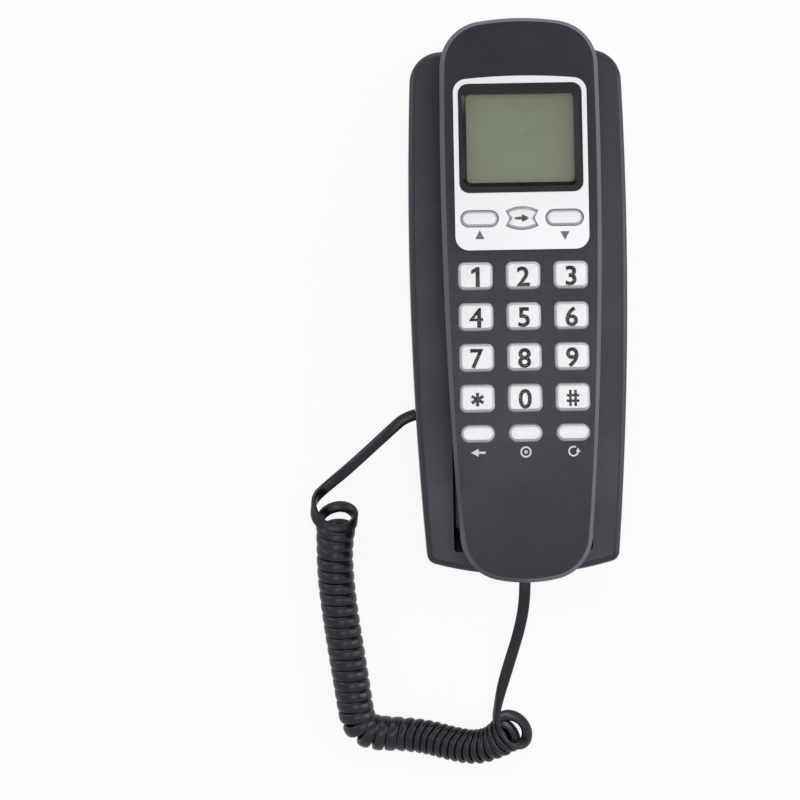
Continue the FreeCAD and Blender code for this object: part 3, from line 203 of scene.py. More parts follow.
def rounded_plan(x, y, half_width, half_length, corner, steps=7):
    """A rectangle with round corners, anticlockwise."""
    corner = min(corner, half_width, half_length)
    plan = []
    for quarter, (side, end) in enumerate(((1, 1), (-1, 1), (-1, -1), (1, -1))):
        for step in range(steps):
            turn = QUARTER_TURN * (quarter + step / (steps - 1))
            plan.append((x + side * (half_width - corner) + corner * math.cos(turn),
                         y + end * (half_length - corner) + corner * math.sin(turn)))
    return plan


def eased(share):
    """A share that sets off and arrives gently."""
    share = min(max(share, 0), 1)
    return share * share * (3 - 2 * share)


# Shader node helpers.


def new_material(name):
    """A material with an empty Principled shader, and its tree."""
    material = bpy.data.materials.new(name)
    material.use_nodes = True
    tree = material.node_tree
    return material, tree, tree.nodes["Principled BSDF"]


def settle(node, **inputs):
    for name, value in inputs.items():
        node.inputs[name.replace("_", " ")].default_value = value
    return node


def add_node(tree, kind, **settings):
    node = tree.nodes.new(kind)
    for name, value in settings.items():
        setattr(node, name, value)
    return node


def link(tree, source, output, target, socket):
    tree.links.new(source.outputs[output], target.inputs[socket])


def new_group(name, inputs, outputs):
    """A shader node group with named sockets, and its two ends."""
    group = bpy.data.node_groups.new(name, "ShaderNodeTree")
    for socket, kind, default in inputs:
        made = group.interface.new_socket(socket, in_out="INPUT", socket_type=kind)
        made.default_value = default
    for socket, kind in outputs:
        group.interface.new_socket(socket, in_out="OUTPUT", socket_type=kind)
    return group, group.nodes.new("NodeGroupInput"), group.nodes.new("NodeGroupOutput")


def mapped(tree, source, output, span, ends):
    """A value stretched from one span to another."""
    node = tree.nodes.new("ShaderNodeMapRange")
    link(tree, source, output, node, "Value")
    return settle(node, From_Min=span[0], From_Max=span[1], To_Min=ends[0], To_Max=ends[1])


def worked(tree, operation, *terms):
    """A maths node whose terms are numbers, or nodes with the names of their outputs."""
    node = add_node(tree, "ShaderNodeMath", operation=operation)
    for socket, term in enumerate(terms):
        if isinstance(term, tuple):
            link(tree, *term, node, socket)
        else:
            node.inputs[socket].default_value = term
    return node


def texture(tree, kind, settings=None, **inputs):
    """A texture laid out in the object's own coordinates."""
    node = settle(add_node(tree, "ShaderNodeTex" + kind, **(settings or {})), **inputs)
    link(tree, tree.nodes.new("ShaderNodeTexCoord"), "Object", node, "Vector")
    return node


def ramped(tree, source, output, low, high, top=1.0):
    """A value turned into a colour between two, the second reached at the top."""
    ramp = tree.nodes.new("ShaderNodeValToRGB")
    first, second = ramp.color_ramp.elements
    first.color, second.color = opaque(low), opaque(high)
    second.position = top
    link(tree, source, output, ramp, "Fac")
    return ramp


def opaque(paint):
    return (*paint, 1)


def dimmed(paint, share):
    return [part * share for part in paint]


def add_bump(tree, shader, source, output, strength, distance):
    bump = settle(tree.nodes.new("ShaderNodeBump"), Strength=strength, Distance=distance)
    link(tree, source, output, bump, "Height")
    link(tree, bump, "Normal", shader, "Normal")


# Where a Mix node of each kind takes its two values and gives its result.
MIX_SOCKETS = {"FLOAT": (2, 3, 0), "RGBA": (6, 7, 2)}


def mix_over(tree, shader, socket, kind, masking, value):
    """Lay a value over what a shader's socket takes, where a mask is bright."""
    first, second, result = MIX_SOCKETS[kind]
    mix = add_node(tree, "ShaderNodeMix", data_type=kind)
    link(tree, masking, "Mask", mix, 0)
    tree.links.new(shader.inputs[socket].links[0].from_socket, mix.inputs[first])
    mix.inputs[second].default_value = value
    link(tree, mix, result, shader, socket)


# Shared effects. A span is where a mask or a tone starts and ends.

NUMBER, PAINT = "NodeSocketFloat", "NodeSocketColor"
WHITE = (1, 1, 1, 1)
CLOUD_SPAN = (0.3, 0.7)
EDGE_SPAN = (0.52, 0.62)
PATCH_SPAN = (0.35, 0.65)
LEVEL_SPAN = (0.93, 0.97)
UPRIGHT_SPAN = (0.35, 0.6)
STREAK_SPAN = (0.4, 0.7)


def moulded_group():
    """Moulded plastic: cloudy tone, spread of gloss and the fine grain of the mould."""
    group, ins, outs = new_group(
        "Moulded Plastic",
        [("Colour", PAINT, WHITE), ("Cloud", NUMBER, 0.1), ("Roughness", NUMBER, 0.4),
         ("Spread", NUMBER, 0.06), ("Grain Scale", NUMBER, 2500)],
        [("Colour", PAINT), ("Roughness", NUMBER), ("Height", NUMBER)])
    cloud = texture(group, "Noise", Scale=45, Detail=4)
    grain = texture(group, "Noise", Detail=2)
    link(group, ins, "Grain Scale", grain, "Scale")
    tone = mapped(group, cloud, "Fac", CLOUD_SPAN, (-1, 1))
    lift = worked(group, "MULTIPLY_ADD", (tone, "Result"), (ins, "Cloud"), 1)
    tint = add_node(group, "ShaderNodeVectorMath", operation="SCALE")
    link(group, ins, "Colour", tint, "Vector")
    link(group, lift, "Value", tint, "Scale")
    gloss = worked(group, "MULTIPLY_ADD", (tone, "Result"), (ins, "Spread"), (ins, "Roughness"))
    link(group, tint, "Vector", outs, "Colour")
    link(group, gloss, "Value", outs, "Roughness")
    link(group, grain, "Fac", outs, "Height")
    return group


def wear_group():
    """Rubbed edges with a painted edge highlight: a mask that is bright on outer edges, broken up by noise.
    """
    group, ins, outs = new_group("Edge Wear And Gleam", [("Amount", NUMBER, 0.3)], [("Mask", NUMBER)])
    patch = texture(group, "Noise", Scale=300, Detail=3)
    edge = mapped(group, group.nodes.new("ShaderNodeNewGeometry"), "Pointiness", EDGE_SPAN, (0, 1))
    broken = mapped(group, patch, "Fac", PATCH_SPAN, (0.4, 1))
    mask = worked(group, "MULTIPLY", (edge, "Result"), (broken, "Result"))
    strength = worked(group, "MULTIPLY", (mask, "Value"), (ins, "Amount"))
    link(group, strength, "Value", outs, "Mask")
    return group


def bevel_group():
    """A mask of the sloping bevel between a level face and its upright sides, where painted light is laid."""
    group, _, outs = new_group("Bevel Painted Light", [], [("Mask", NUMBER)])
    split = group.nodes.new("ShaderNodeSeparateXYZ")
    link(group, group.nodes.new("ShaderNodeNewGeometry"), "Normal", split, "Vector")
    below = mapped(group, split, "Z", LEVEL_SPAN, (1, 0))
    above = mapped(group, split, "Z", UPRIGHT_SPAN, (0, 1))
    mask = worked(group, "MULTIPLY", (below, "Result"), (above, "Result"))
    link(group, mask, "Value", outs, "Mask")
    return group


def smear_group():
    """Handling marks: a gloss that drifts in soft streaks, for clear and polished pieces."""
    group, ins, outs = new_group(
        "Handling Marks", [("Roughness", NUMBER, 0.04), ("Amount", NUMBER, 0.03)],
        [("Roughness", NUMBER)])
    streak = texture(group, "Noise", Scale=160, Detail=5, Distortion=1.2)
    drift = mapped(group, streak, "Fac", STREAK_SPAN, (0, 1))
    total = worked(group, "MULTIPLY_ADD", (drift, "Result"), (ins, "Amount"), (ins, "Roughness"))
    link(group, total, "Value", outs, "Roughness")
    return group


GROUPS = {}


def place_group(tree, make, **inputs):
    """Put a shared node group in a material, building it the first time."""
    if make not in GROUPS:
        GROUPS[make] = make()
    node = add_node(tree, "ShaderNodeGroup", node_tree=GROUPS[make])
    return settle(node, **inputs)


# Finishes.

VIOLET_SHEEN = (0.9, 0.87, 1)
GRAIN_DEPTH = 0.05 * MM
DRAWN_DEPTH = 0.03 * MM
FLAKE_DEPTH = 0.02 * MM
DRAWN_STRETCH = (1, 1, 8)
FLAKE_SCALE = 5200
# How much lighter outer edges are painted: partly rubbed wear, partly a painted edge highlight.
WORN_GLEAM_GAIN = 2.5
WORN_GLEAM_LIFT = 0.03


def plastic(name, paint, roughness, cloud=0.1, spread=0.05, grain=2500, bump=0.12, wear_and_gleam=0.0,
            specular=0.5, sheen=(1, 1, 1)):
    """Moulded plastic, satin or smooth, with outer edges made lighter: partly rubbed where it is handled,
    partly a painted edge highlight.
    """
    material, tree, shader = new_material(name)
    moulded = place_group(tree, moulded_group, Colour=opaque(paint), Cloud=cloud, Roughness=roughness,
                          Spread=spread, Grain_Scale=grain)
    link(tree, moulded, "Colour", shader, "Base Color")
    link(tree, moulded, "Roughness", shader, "Roughness")
    add_bump(tree, shader, moulded, "Height", bump, GRAIN_DEPTH)
    settle(shader, Specular_IOR_Level=specular, Specular_Tint=opaque(sheen))
    if wear_and_gleam:
        # Lighter outer edges: partly rubbed wear, partly a painted edge highlight.
        worn_and_gleaming = [min(1, part * WORN_GLEAM_GAIN + WORN_GLEAM_LIFT) for part in paint]
        mix_over(tree, shader, "Base Color", "RGBA", place_group(tree, wear_group, Amount=wear_and_gleam), opaque(worn_and_gleaming))
    return material


def polish_bevel(material, paint, roughness):
    """Give a moulded finish's sloping bevel its own gloss and a colour of painted light: a painted highlight
    where that colour is lighter, painted shade where it is darker.
    """
    tree = material.node_tree
    shader = tree.nodes["Principled BSDF"]
    bevel = place_group(tree, bevel_group)
    mix_over(tree, shader, "Base Color", "RGBA", bevel, opaque(paint))
    mix_over(tree, shader, "Roughness", "FLOAT", bevel, roughness)
    return material


def crystal(name, roughness, ior, marks=0.02):
    """Clear moulded plastic with faint handling marks."""
    material, tree, shader = new_material(name)
    smear = place_group(tree, smear_group, Roughness=roughness, Amount=marks)
    link(tree, smear, "Roughness", shader, "Roughness")
    settle(shader, Base_Color=WHITE, Transmission_Weight=1, IOR=ior)
    return material


def metal(name, paint, roughness):
    """Plated steel with a drawn grain."""
    material, tree, shader = new_material(name)
    stretch = settle(tree.nodes.new("ShaderNodeMapping"), Scale=DRAWN_STRETCH)
    link(tree, tree.nodes.new("ShaderNodeTexCoord"), "Object", stretch, "Vector")
    drawn = settle(tree.nodes.new("ShaderNodeTexNoise"), Scale=900, Detail=4)
    link(tree, stretch, "Vector", drawn, "Vector")
    smear = place_group(tree, smear_group, Roughness=roughness, Amount=0.2)
    link(tree, smear, "Roughness", shader, "Roughness")
    link(tree, ramped(tree, drawn, "Fac", dimmed(paint, 0.75), paint), "Color", shader, "Base Color")
    add_bump(tree, shader, drawn, "Fac", 0.08, DRAWN_DEPTH)
    settle(shader, Metallic=1)
    return material


def silver_paint(name, paint):
    """Silver paint: fine bright flakes under a satin clear coat."""
    material, tree, shader = new_material(name)
    flake = texture(tree, "Voronoi", Scale=FLAKE_SCALE)
    link(tree, ramped(tree, flake, "Color", dimmed(paint, 0.9), paint), "Color", shader, "Base Color")
    moulded = place_group(tree, moulded_group, Roughness=0.42, Spread=0.05, Grain_Scale=FLAKE_SCALE)
    link(tree, moulded, "Roughness", shader, "Roughness")
    add_bump(tree, shader, moulded, "Height", 0.1, FLAKE_DEPTH)
    settle(shader, Metallic=0.25, Coat_Weight=0.2, Coat_Roughness=0.2)
    return material


def display_glass(name, paint):
    """A resting liquid crystal display: a grey-green ground with its fine electrode grid."""
    material, tree, shader = new_material(name)
    grid = texture(tree, "Brick", {"offset": 0}, Scale=1000, Mortar_Size=0.045, Brick_Width=0.55,
                   Row_Height=0.55, Color1=opaque(paint), Color2=opaque(dimmed(paint, 0.99)),
                   Mortar=opaque(dimmed(paint, 0.97)))
    glow = place_group(tree, moulded_group, Cloud=0.06, Roughness=0.3, Spread=0.04)
    link(tree, grid, "Color", glow, "Colour")
    link(tree, glow, "Colour", shader, "Base Color")
    link(tree, glow, "Roughness", shader, "Roughness")
    settle(shader, Specular_IOR_Level=0.25)
    return material


def circuit_board(name):
    """Green lacquer over copper tracks."""
    material, tree, shader = new_material(name)
    tracks = texture(tree, "Voronoi", {"feature": "DISTANCE_TO_EDGE"}, Scale=320, Randomness=0.6)
    lacquer = ramped(tree, tracks, "Distance", shade(60, 120, 70), shade(16, 74, 42), 0.12)
    link(tree, lacquer, "Color", shader, "Base Color")
    smear = place_group(tree, smear_group, Roughness=0.3, Amount=0.15)
    link(tree, smear, "Roughness", shader, "Roughness")
    add_bump(tree, shader, tracks, "Distance", 0.2, GRAIN_DEPTH)
    return material


# Pieces.


def dress(material, slot, *nodes):
    """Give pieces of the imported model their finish."""
    for node in nodes:
        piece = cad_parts[node]
        piece.data.materials.clear()
        piece.data.materials.append(material)


def let_light_through(piece):
    piece.visible_shadow = False
    piece.visible_diffuse = False


class PHONE_OT_shells(bpy.types.Operator):
    """Finish the handset's covers, the base's covers and their feet and screws"""
    bl_idname = "phone.shells"
    bl_label = "Shells"

    def execute(self, context):
        paints = context.scene.phone_colours
        satin = plastic("satin_handset", paints.shell, 0.36, grain=2600, bump=0.2, wear_and_gleam=0.25, specular=0.32,
                        sheen=VIOLET_SHEEN)
        # The sloping bevel gets a painted highlight colour and a glossier finish.
        polish_bevel(satin, paints.bevel, 0.2)
        smooth = plastic("smooth_base", paints.base, 0.38, grain=1800, bump=0.12, wear_and_gleam=0.2, specular=0.4,
                         sheen=VIOLET_SHEEN)
        under = plastic("grained_underside", paints.base, 0.55, grain=900, bump=0.4)
        rubber = plastic("foot_rubber", shade(38, 37, 38), 0.8, cloud=0.2, grain=700, bump=0.5)
        steel = metal("plated_steel", shade(196, 196, 200), 0.25)
        dress(satin, "black_plastic", "handset_front_cover", "handset_rear_cover")
        dress(smooth, "black_plastic", "base_cover")
        dress(under, "black_plastic", "base_bottom_cover")
        dress(rubber, "rubber", "rubber_feet")
        dress(steel, "steel", "base_screws", "handset_screws")
        return {"FINISHED"}


# Where the face and the keys are.

FACE_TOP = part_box("handset_front_cover")[1].z
FACE_RADIUS = 1400 * MM
PANEL_PROUD = 0.4 * MM
KEY_LEGENDS = {**{f"key_{digit}": str(digit) for digit in range(10)}, "key_star": "*", "key_hash": "#"}
PILL_KEYS = ("key_delete", "key_set", "key_redial", "key_up", "key_down")
WAISTED_KEY = "key_out"
WAIST_SHOULDER = 0.66
WAIST_LENGTH = 0.86
LEAST_CORNER = 0.1 * MM


def face_height(y):
    """Height of the handset's bowed face."""
    return FACE_TOP - FACE_RADIUS + math.sqrt(FACE_RADIUS ** 2 - y * y)


def panel_height(y):
    return face_height(y) + PANEL_PROUD


def waisted_plan(x, y, half_width, half_length, waist, steps=12):
    """A ticket shape: bowed ends, and sides that draw in at the middle."""
    shoulder = half_length * WAIST_SHOULDER
    shares = [2 * step / steps - 1 for step in range(steps)]
    half = [(half_width - waist * (1 + math.cos(math.pi * share)) / 2, shoulder * share)
            for share in shares]
    half += [(-half_width * share, shoulder + (half_length - shoulder) * (1 - share * share))
             for share in shares]
    return [(x + turn * across, y + turn * along) for turn in (1, -1) for across, along in half]


class Key:
    """Where a key stands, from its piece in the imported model."""

    def __init__(self, name, keys):
        low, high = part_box(name)
        self.name = name
        self.x, self.y = (low.x + high.x) / 2, (low.y + high.y) / 2
        self.half_width = (high.x - low.x) / 2 - keys.flange
        self.half_length = (high.y - low.y) / 2 - keys.flange
        self.low, self.top = low.z, high.z
        self.face = high.z - keys.proud
        self.plate = high.z - keys.depth

    def plan(self, inset, keys):
        """The key's outline, drawn in by an inset."""
        half_width = self.half_width - inset
        if self.name == WAISTED_KEY:
            half_length = self.half_length * WAIST_LENGTH - inset
            return waisted_plan(self.x, self.y, half_width, half_length, keys.waist)
        corner = self.half_length if self.name in PILL_KEYS else keys.corner
        return rounded_plan(self.x, self.y, half_width, self.half_length - inset,
                            max(corner - inset, LEAST_CORNER))


# Display.

PANEL_CORNER = 5 * MM
PANEL_BOW = 0.9 * MM
PANEL_SINK = 0.05 * MM
PANEL_STEP = 3 * MM
WINDOW_CORNER = 3.6 * MM
WINDOW_GAP = 0.15 * MM
KEY_GAP = 0.3 * MM


def panel_plan(low, high, steps=9):
    """The panel's outline: round corners and a gently bowed top edge."""
    half_width = (high.x - low.x) / 2
    top = high.y - PANEL_BOW
    plan = rounded_plan(0, (low.y + top) / 2, half_width, (top - low.y) / 2, PANEL_CORNER, steps)
    reach = half_width - PANEL_CORNER
    shares = [1 - index / steps for index in range(1, steps * 2)]
    crown = [(reach * share, top + PANEL_BOW * (1 - share * share)) for share in shares]
    return plan[:steps] + crown + plan[steps:]


def window_plan():
    """The panel's opening round the bezel."""
    low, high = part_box("display_bezel")
    return rounded_plan(0, (low.y + high.y) / 2, (high.x - low.x) / 2 + WINDOW_GAP,
                        (high.y - low.y) / 2 + WINDOW_GAP, WINDOW_CORNER)


def display_panel(keys, material):
    """A thin plate on the bowed face, open at the display and at its three keys."""
    low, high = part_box("display_panel")
    plans = [panel_plan(low, high), window_plan()]
    plans += [Key(name, keys).plan(-KEY_GAP, keys) for name in ("key_up", WAISTED_KEY, "key_down")]
    shape = bmesh.new()
    for plan in plans:
        ring = add_ring(shape, plan, 0)
        for index in range(len(ring)):
            shape.edges.new((ring[index - 1], ring[index]))
    bmesh.ops.remove_doubles(shape, verts=list(shape.verts), dist=SAME_PLACE)
    bmesh.ops.triangle_fill(shape, use_beauty=True, edges=list(shape.edges), normal=UP)
    for step in range(1, round((high.y - low.y) / PANEL_STEP)):
        everything = [*shape.verts, *shape.edges, *shape.faces]
        bmesh.ops.bisect_plane(shape, geom=everything, plane_co=(0, low.y + step * PANEL_STEP, 0),
                               plane_no=(0, 1, 0))
    for vertex in shape.verts:
        vertex.co.z = face_height(vertex.co.y) - PANEL_SINK
    thicken(shape, PANEL_PROUD + PANEL_SINK)
    return add_object("silver_panel", shape, material)


class PHONE_OT_display(bpy.types.Operator):
    """Finish the silver panel, the bezel, the lens and the display behind it"""
    bl_idname = "phone.display"
    bl_label = "Display"

    def execute(self, context):
        paints = context.scene.phone_colours
        panel = display_panel(context.scene.phone_keys, silver_paint("silver_panel", paints.panel))
        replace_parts(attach(panel, "handset"), "display_panel")
        gloss = plastic("gloss_bezel", paints.bezel, 0.16, cloud=0.05, spread=0.03, bump=0.03, specular=0.36)
        dress(gloss, "gloss_black", "display_bezel")
        dress(crystal("display_window", 0.02, 1.3), "clear_lens", "display_lens")
        let_light_through(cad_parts["display_lens"])
        dress(display_glass("resting_display", paints.lcd), "lcd", "lcd_glass")
        dress(plastic("holder_plastic", shade(228, 228, 224), 0.45), "white_plastic", "lcd_holder")
        return {"FINISHED"}


# Keys.

CAP_GAP = 0.05 * MM
EDGE_STEPS = 5
CROWN_SHARES = (0.25, 0.55, 0.85)


def crystal_cap(key, keys, material):
    """A clear cap: straight sides, a rounded edge and a slightly swelling top."""
    rise = keys.rounding
    shape = bmesh.new()
    rings = [add_ring(shape, key.plan(keys.skirt, keys), key.plate),
             add_ring(shape, key.plan(0, keys), key.plate - keys.skirt_drop)]
    for step in range(EDGE_STEPS + 1):
        turn = QUARTER_TURN * step / EDGE_STEPS
        rings.append(add_ring(shape, key.plan(rise * (1 - math.cos(turn)), keys),
                              key.top - keys.crown - rise * (1 - math.sin(turn))))
    reach = min(key.half_width, key.half_length) - rise
    for share in CROWN_SHARES:
        rings.append(add_ring(shape, key.plan(rise + reach * share, keys),
                              key.top - keys.crown * (1 - share) ** 2))
    stack(shape, rings)
    cap = add_object(key.name + "_cap", shape, material, smooth=True)
    let_light_through(cap)
    return cap


def key_body(key, keys, material):
    """The white plastic under a cap: plate, flange and stem."""
    shape = bmesh.new()
    flange_top = key.face - keys.flange_drop
    flange_low = flange_top - keys.flange_height
    levels = [(-keys.flange, flange_low), (-keys.flange, flange_top), (CAP_GAP, flange_top),
              (CAP_GAP, key.plate - keys.skirt_drop - CAP_GAP), (keys.skirt + CAP_GAP, key.plate - CAP_GAP)]
    stack(shape, [add_ring(shape, key.plan(inset, keys), height) for inset, height in levels])
    stem = circle_plan(key.x, key.y, keys.stem / 2)
    stack(shape, [add_ring(shape, stem, height) for height in (key.low, flange_low)])
    return add_object(key.name + "_body", shape, material)


def draw_one(shape):
    """A digit one with a flag, one unit tall."""
    add_polygon(shape, [(-0.04, 0), (0.17, 0), (0.17, 1), (0, 1), (-0.26, 0.84), (-0.26, 0.64),
                        (-0.04, 0.76)])


def draw_star(shape):
    """A six-armed star, most of a unit tall."""
    spots = []
    for arm in range(6):
        for turn, reach in ((-14, 0.35), (14, 0.35), (30, 0.15)):
            angle = math.radians(90 + 60 * arm + turn)
            spots.append((reach * math.cos(angle), reach * math.sin(angle)))
    add_polygon(shape, spots)


def draw_hash(shape):
    """Two upright bars, and two level ones in three pieces each."""
    pen, reach, rise, upright, level = 0.066, 0.32, 0.41, 0.13, 0.14
    bars = [(x - pen, x + pen, -rise, rise) for x in (-upright, upright)]
    for y in (-level, level):
        for start, end in ((-reach, -upright - pen), (pen - upright, upright - pen), (upright + pen, reach)):
            bars.append((start, end, y - pen, y + pen))
    for left, right, low, high in bars:
        add_polygon(shape, [(left, low), (right, low), (right, high), (left, high)])


DRAWN_LEGENDS = {"1": draw_one, "*": draw_star, "#": draw_hash}
BOLDNESS = 0.024
DIGIT_WIDENING = 1.02
DIGIT_DROP = 0.4 * MM
LETTER_JOIN = 1e-5
SHARPEST_CORNER = 0.4


def swell(shape, reach):
    """Make flat letters bolder by moving their edges outwards."""
    bmesh.ops.remove_doubles(shape, verts=list(shape.verts), dist=LETTER_JOIN)
    shape.normal_update()
    ways = {}
    for edge in shape.edges:
        if edge.is_boundary:
            loop = edge.link_loops[0]
            along = loop.link_loop_next.vert.co - loop.vert.co
            for vertex in edge.verts:
                ways.setdefault(vertex, []).append(along.cross(loop.face.normal).normalized())
    for vertex, outs in ways.items():
        mean = sum(outs, Vector()) / len(outs)
        vertex.co += mean * reach / max(mean.length_squared, SHARPEST_CORNER)


def lettered(digit):
    """A bold flat digit, one unit tall."""
    text = bpy.data.curves.new("legend", "FONT")
    text.body = digit
    text.resolution_u = 6
    holder = bpy.data.objects.new("legend", text)
    mesh = bpy.data.meshes.new_from_object(holder)
    bpy.data.objects.remove(holder)
    bpy.data.curves.remove(text)
    shape = bmesh.new()
    shape.from_mesh(mesh)
    bpy.data.meshes.remove(mesh)
    swell(shape, BOLDNESS)
    heights = [vertex.co.y for vertex in shape.verts]
    rise = max(heights) - min(heights)
    bmesh.ops.scale(shape, vec=(DIGIT_WIDENING / rise, 1 / rise, 1), verts=list(shape.verts))
    return shape


def legend(key, digit, keys, material):
    """A digit printed on a key's plate."""
    if digit in DRAWN_LEGENDS:
        shape = bmesh.new()
        DRAWN_LEGENDS[digit](shape)
    else:
        shape = lettered(digit)
    spots = [vertex.co.copy() for vertex in shape.verts]
    middle = (Vector(map(min, *spots)) + Vector(map(max, *spots))) / 2
    place = Vector((key.x, key.y - DIGIT_DROP, key.plate - CAP_GAP))
    for vertex in shape.verts:
        vertex.co = place + (vertex.co - middle) * keys.digit
    thicken(shape, keys.ink)
    return add_object(key.name + "_digit", shape, material)


class PHONE_OT_keys(bpy.types.Operator):
    """Make the crystal keys with their white bodies and digits"""
    bl_idname = "phone.keys"
    bl_label = "Crystal Keys"

    def execute(self, context):
        paints, keys = context.scene.phone_colours, context.scene.phone_keys
        clear = crystal("crystal_cap", 0.03, 1.18)
        white = plastic("white_key", paints.key, 0.4, cloud=0.03, bump=0.05)
        # Painted shade: the sloping rim under each cap is painted grey.
        polish_bevel(white, paints.key_rim, 0.4)
        ink = plastic("digit_ink", paints.legend, 0.5, bump=0.05, specular=0.2)
        for name in (*KEY_LEGENDS, *PILL_KEYS, WAISTED_KEY):
            key = Key(name, keys)
            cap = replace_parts(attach(crystal_cap(key, keys, clear), name), name)
            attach(key_body(key, keys, white), name)
            if name in KEY_LEGENDS:
                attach(legend(key, KEY_LEGENDS[name], keys, ink), name)
        return {"FINISHED"}


# Signs, whose parts are shares of a sign's size.

SIGN_DROP = 7.0 * MM
PANEL_SIGN_DROP = 6.3 * MM
SIGN_SIZE = 2.1 * MM
BACK_CORNER = math.radians(125)


def add_band(shape, radius, width, start, end, count=28):
    """Part of a ring, from one angle to another."""
    edges = []
    for index in range(count + 1):
        turn = math.radians(start + (end - start) * index / count)
        edges.append([shape.verts.new((reach * math.cos(turn), reach * math.sin(turn), 0))
                      for reach in (radius - width / 2, radius + width / 2)])
    for before, after in zip(edges, edges[1:]):
        shape.faces.new((before[0], before[1], after[1], after[0]))


def draw_triangle(shape, x, y, size, degrees):
    turn = math.radians(degrees)
    add_polygon(shape, [(x + size * math.cos(turn + corner), y + size * math.sin(turn + corner))
                        for corner in (0, BACK_CORNER, -BACK_CORNER)])


def draw_up(shape, size):
    draw_triangle(shape, 0, 0, size, 90)


def draw_down(shape, size):
    draw_triangle(shape, 0, 0, size, -90)


def draw_leave(shape, size):
    """An arrow to the right with its tail."""
    draw_triangle(shape, size * 0.45, 0, size * 0.85, 0)
    tail, neck, half = -size * 1.3, size * 0.05, size * 0.2
    add_polygon(shape, [(tail, -half), (neck, -half), (neck, half), (tail, half)])


def draw_back(shape, size):
    """An arrow to the left with its tail."""
    draw_leave(shape, size)
    for vertex in shape.verts:
        vertex.co.x = -vertex.co.x


def draw_ring(shape, size):
    """A ring with a dot."""
    add_band(shape, size * 0.85, size * 0.3, 0, 359.9)
    add_polygon(shape, circle_plan(0, 0, size * 0.3, 16))


def draw_again(shape, size):
    """A circular arrow."""
    add_band(shape, size * 0.8, size * 0.28, 60, 350)
    draw_triangle(shape, size * 0.8, size * 0.12, size * 0.5, 95)


FACE_SIGNS = {"delete": draw_back, "set": draw_ring, "redial": draw_again}
PANEL_SIGNS = {"up": draw_up, "down": draw_down}


def sign(name, draw, x, y, surface, ink, material):
    """A sign drawn at a place and laid on a surface, whose height is known along the phone."""
    shape = bmesh.new()
    draw(shape, SIGN_SIZE)
    for vertex in shape.verts:
        vertex.co = (x + vertex.co.x, y + vertex.co.y, surface(y + vertex.co.y))
    thicken(shape, ink)
    return add_object(name, shape, material)


class PHONE_OT_signs(bpy.types.Operator):
    """Print plain signs under the function keys, on the panel and on the middle key"""
    bl_idname = "phone.signs"
    bl_label = "Signs"

    def execute(self, context):
        paints, keys = context.scene.phone_colours, context.scene.phone_keys
        white, grey, black = (plastic(name, paint, 0.5, cloud=0.04, bump=0.05) for name, paint in (
            ("white_ink", paints.sign), ("grey_ink", paints.panel_sign), ("key_ink", paints.legend)))
        for drawings, drop, surface, ink, slot in (
                (FACE_SIGNS, SIGN_DROP, face_height, white, "white_plastic"),
                (PANEL_SIGNS, PANEL_SIGN_DROP, panel_height, grey, "gloss_black")):
            for name, draw in drawings.items():
                key = Key("key_" + name, keys)
                piece = sign(name + "_sign", draw, key.x, key.y - drop, surface, keys.ink, ink)
                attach(piece, "handset")
        key = Key(WAISTED_KEY, keys)
        piece = sign("out_sign", draw_leave, key.x, key.y, lambda y: key.plate - CAP_GAP, keys.ink, black)
        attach(piece, WAISTED_KEY)
        return {"FINISHED"}


class PHONE_OT_fittings(bpy.types.Operator):
    """Finish the jacks, plugs, hook, boards and sound parts"""
    bl_idname = "phone.fittings"
    bl_label = "Fittings"

    def execute(self, context):
        black = plastic("socket_plastic", context.scene.phone_colours.base, 0.38, bump=0.1)
        white = plastic("switch_plastic", shade(226, 226, 220), 0.42)
        board = circuit_board("green_board")
        steel = metal("spring_steel", shade(186, 186, 190), 0.28)
        silicone = plastic("silicone_mat", shade(206, 206, 204), 0.62, cloud=0.05, grain=1200)
        boot = plastic("boot_rubber", shade(40, 40, 42), 0.75, grain=900, bump=0.4)
        foam = plastic("gasket_foam", shade(52, 52, 54), 0.95, cloud=0.3, grain=1500, bump=0.9)
        plug = crystal("plug_plastic", 0.08, 1.55, 0.06)
        dress(black, "black_plastic", "handset_cord_jack", "line_jack", "handset_jack", "hook_plunger",
              "ringer_buzzer")
        dress(white, "white_plastic", "hook_switch")
        dress(board, "circuit_board", "base_circuit_board", "main_circuit_board")
        dress(steel, "steel", "hook_spring", "earpiece_speaker", "microphone")
        dress(silicone, "silicone", "keypad_mat")
        dress(boot, "rubber", "microphone_boot")
        dress(foam, "foam", "speaker_gasket")
        dress(plug, "clear_plug", "cord_plug_base", "cord_plug_handset")
        return {"FINISHED"}


# Curly cord. The route's points are in millimetres.

BASE_TAIL = [(-40, -42, 10), (-44.5, -43.2, 10), (-49.4, -47.4, 9.6), (-55, -52.4, 8), (-61.5, -58.2, 5.4),
             (-68.4, -64.2, 3.2)]
COIL_AXIS = [(-71.3, -78), (-72.8, -91), (-72.6, -104), (-71.4, -116), (-69.8, -128), (-68, -140),
             (-66.4, -151), (-64.8, -162.4), (-59.6, -166.2), (-48, -166.8), (-38, -168.2), (-28, -171.2),
             (-19, -173), (-10.6, -170.8), (-3.6, -165.2)]
HANDSET_TAIL = [(-9.9, -152.6, 15), (-7.6, -143.6, 19), (-5, -134.6, 23), (-2.4, -125.4, 27.4),
                (-0.6, -116.2, 31.2), (0, -107.6, 33), (0, -100, 33)]

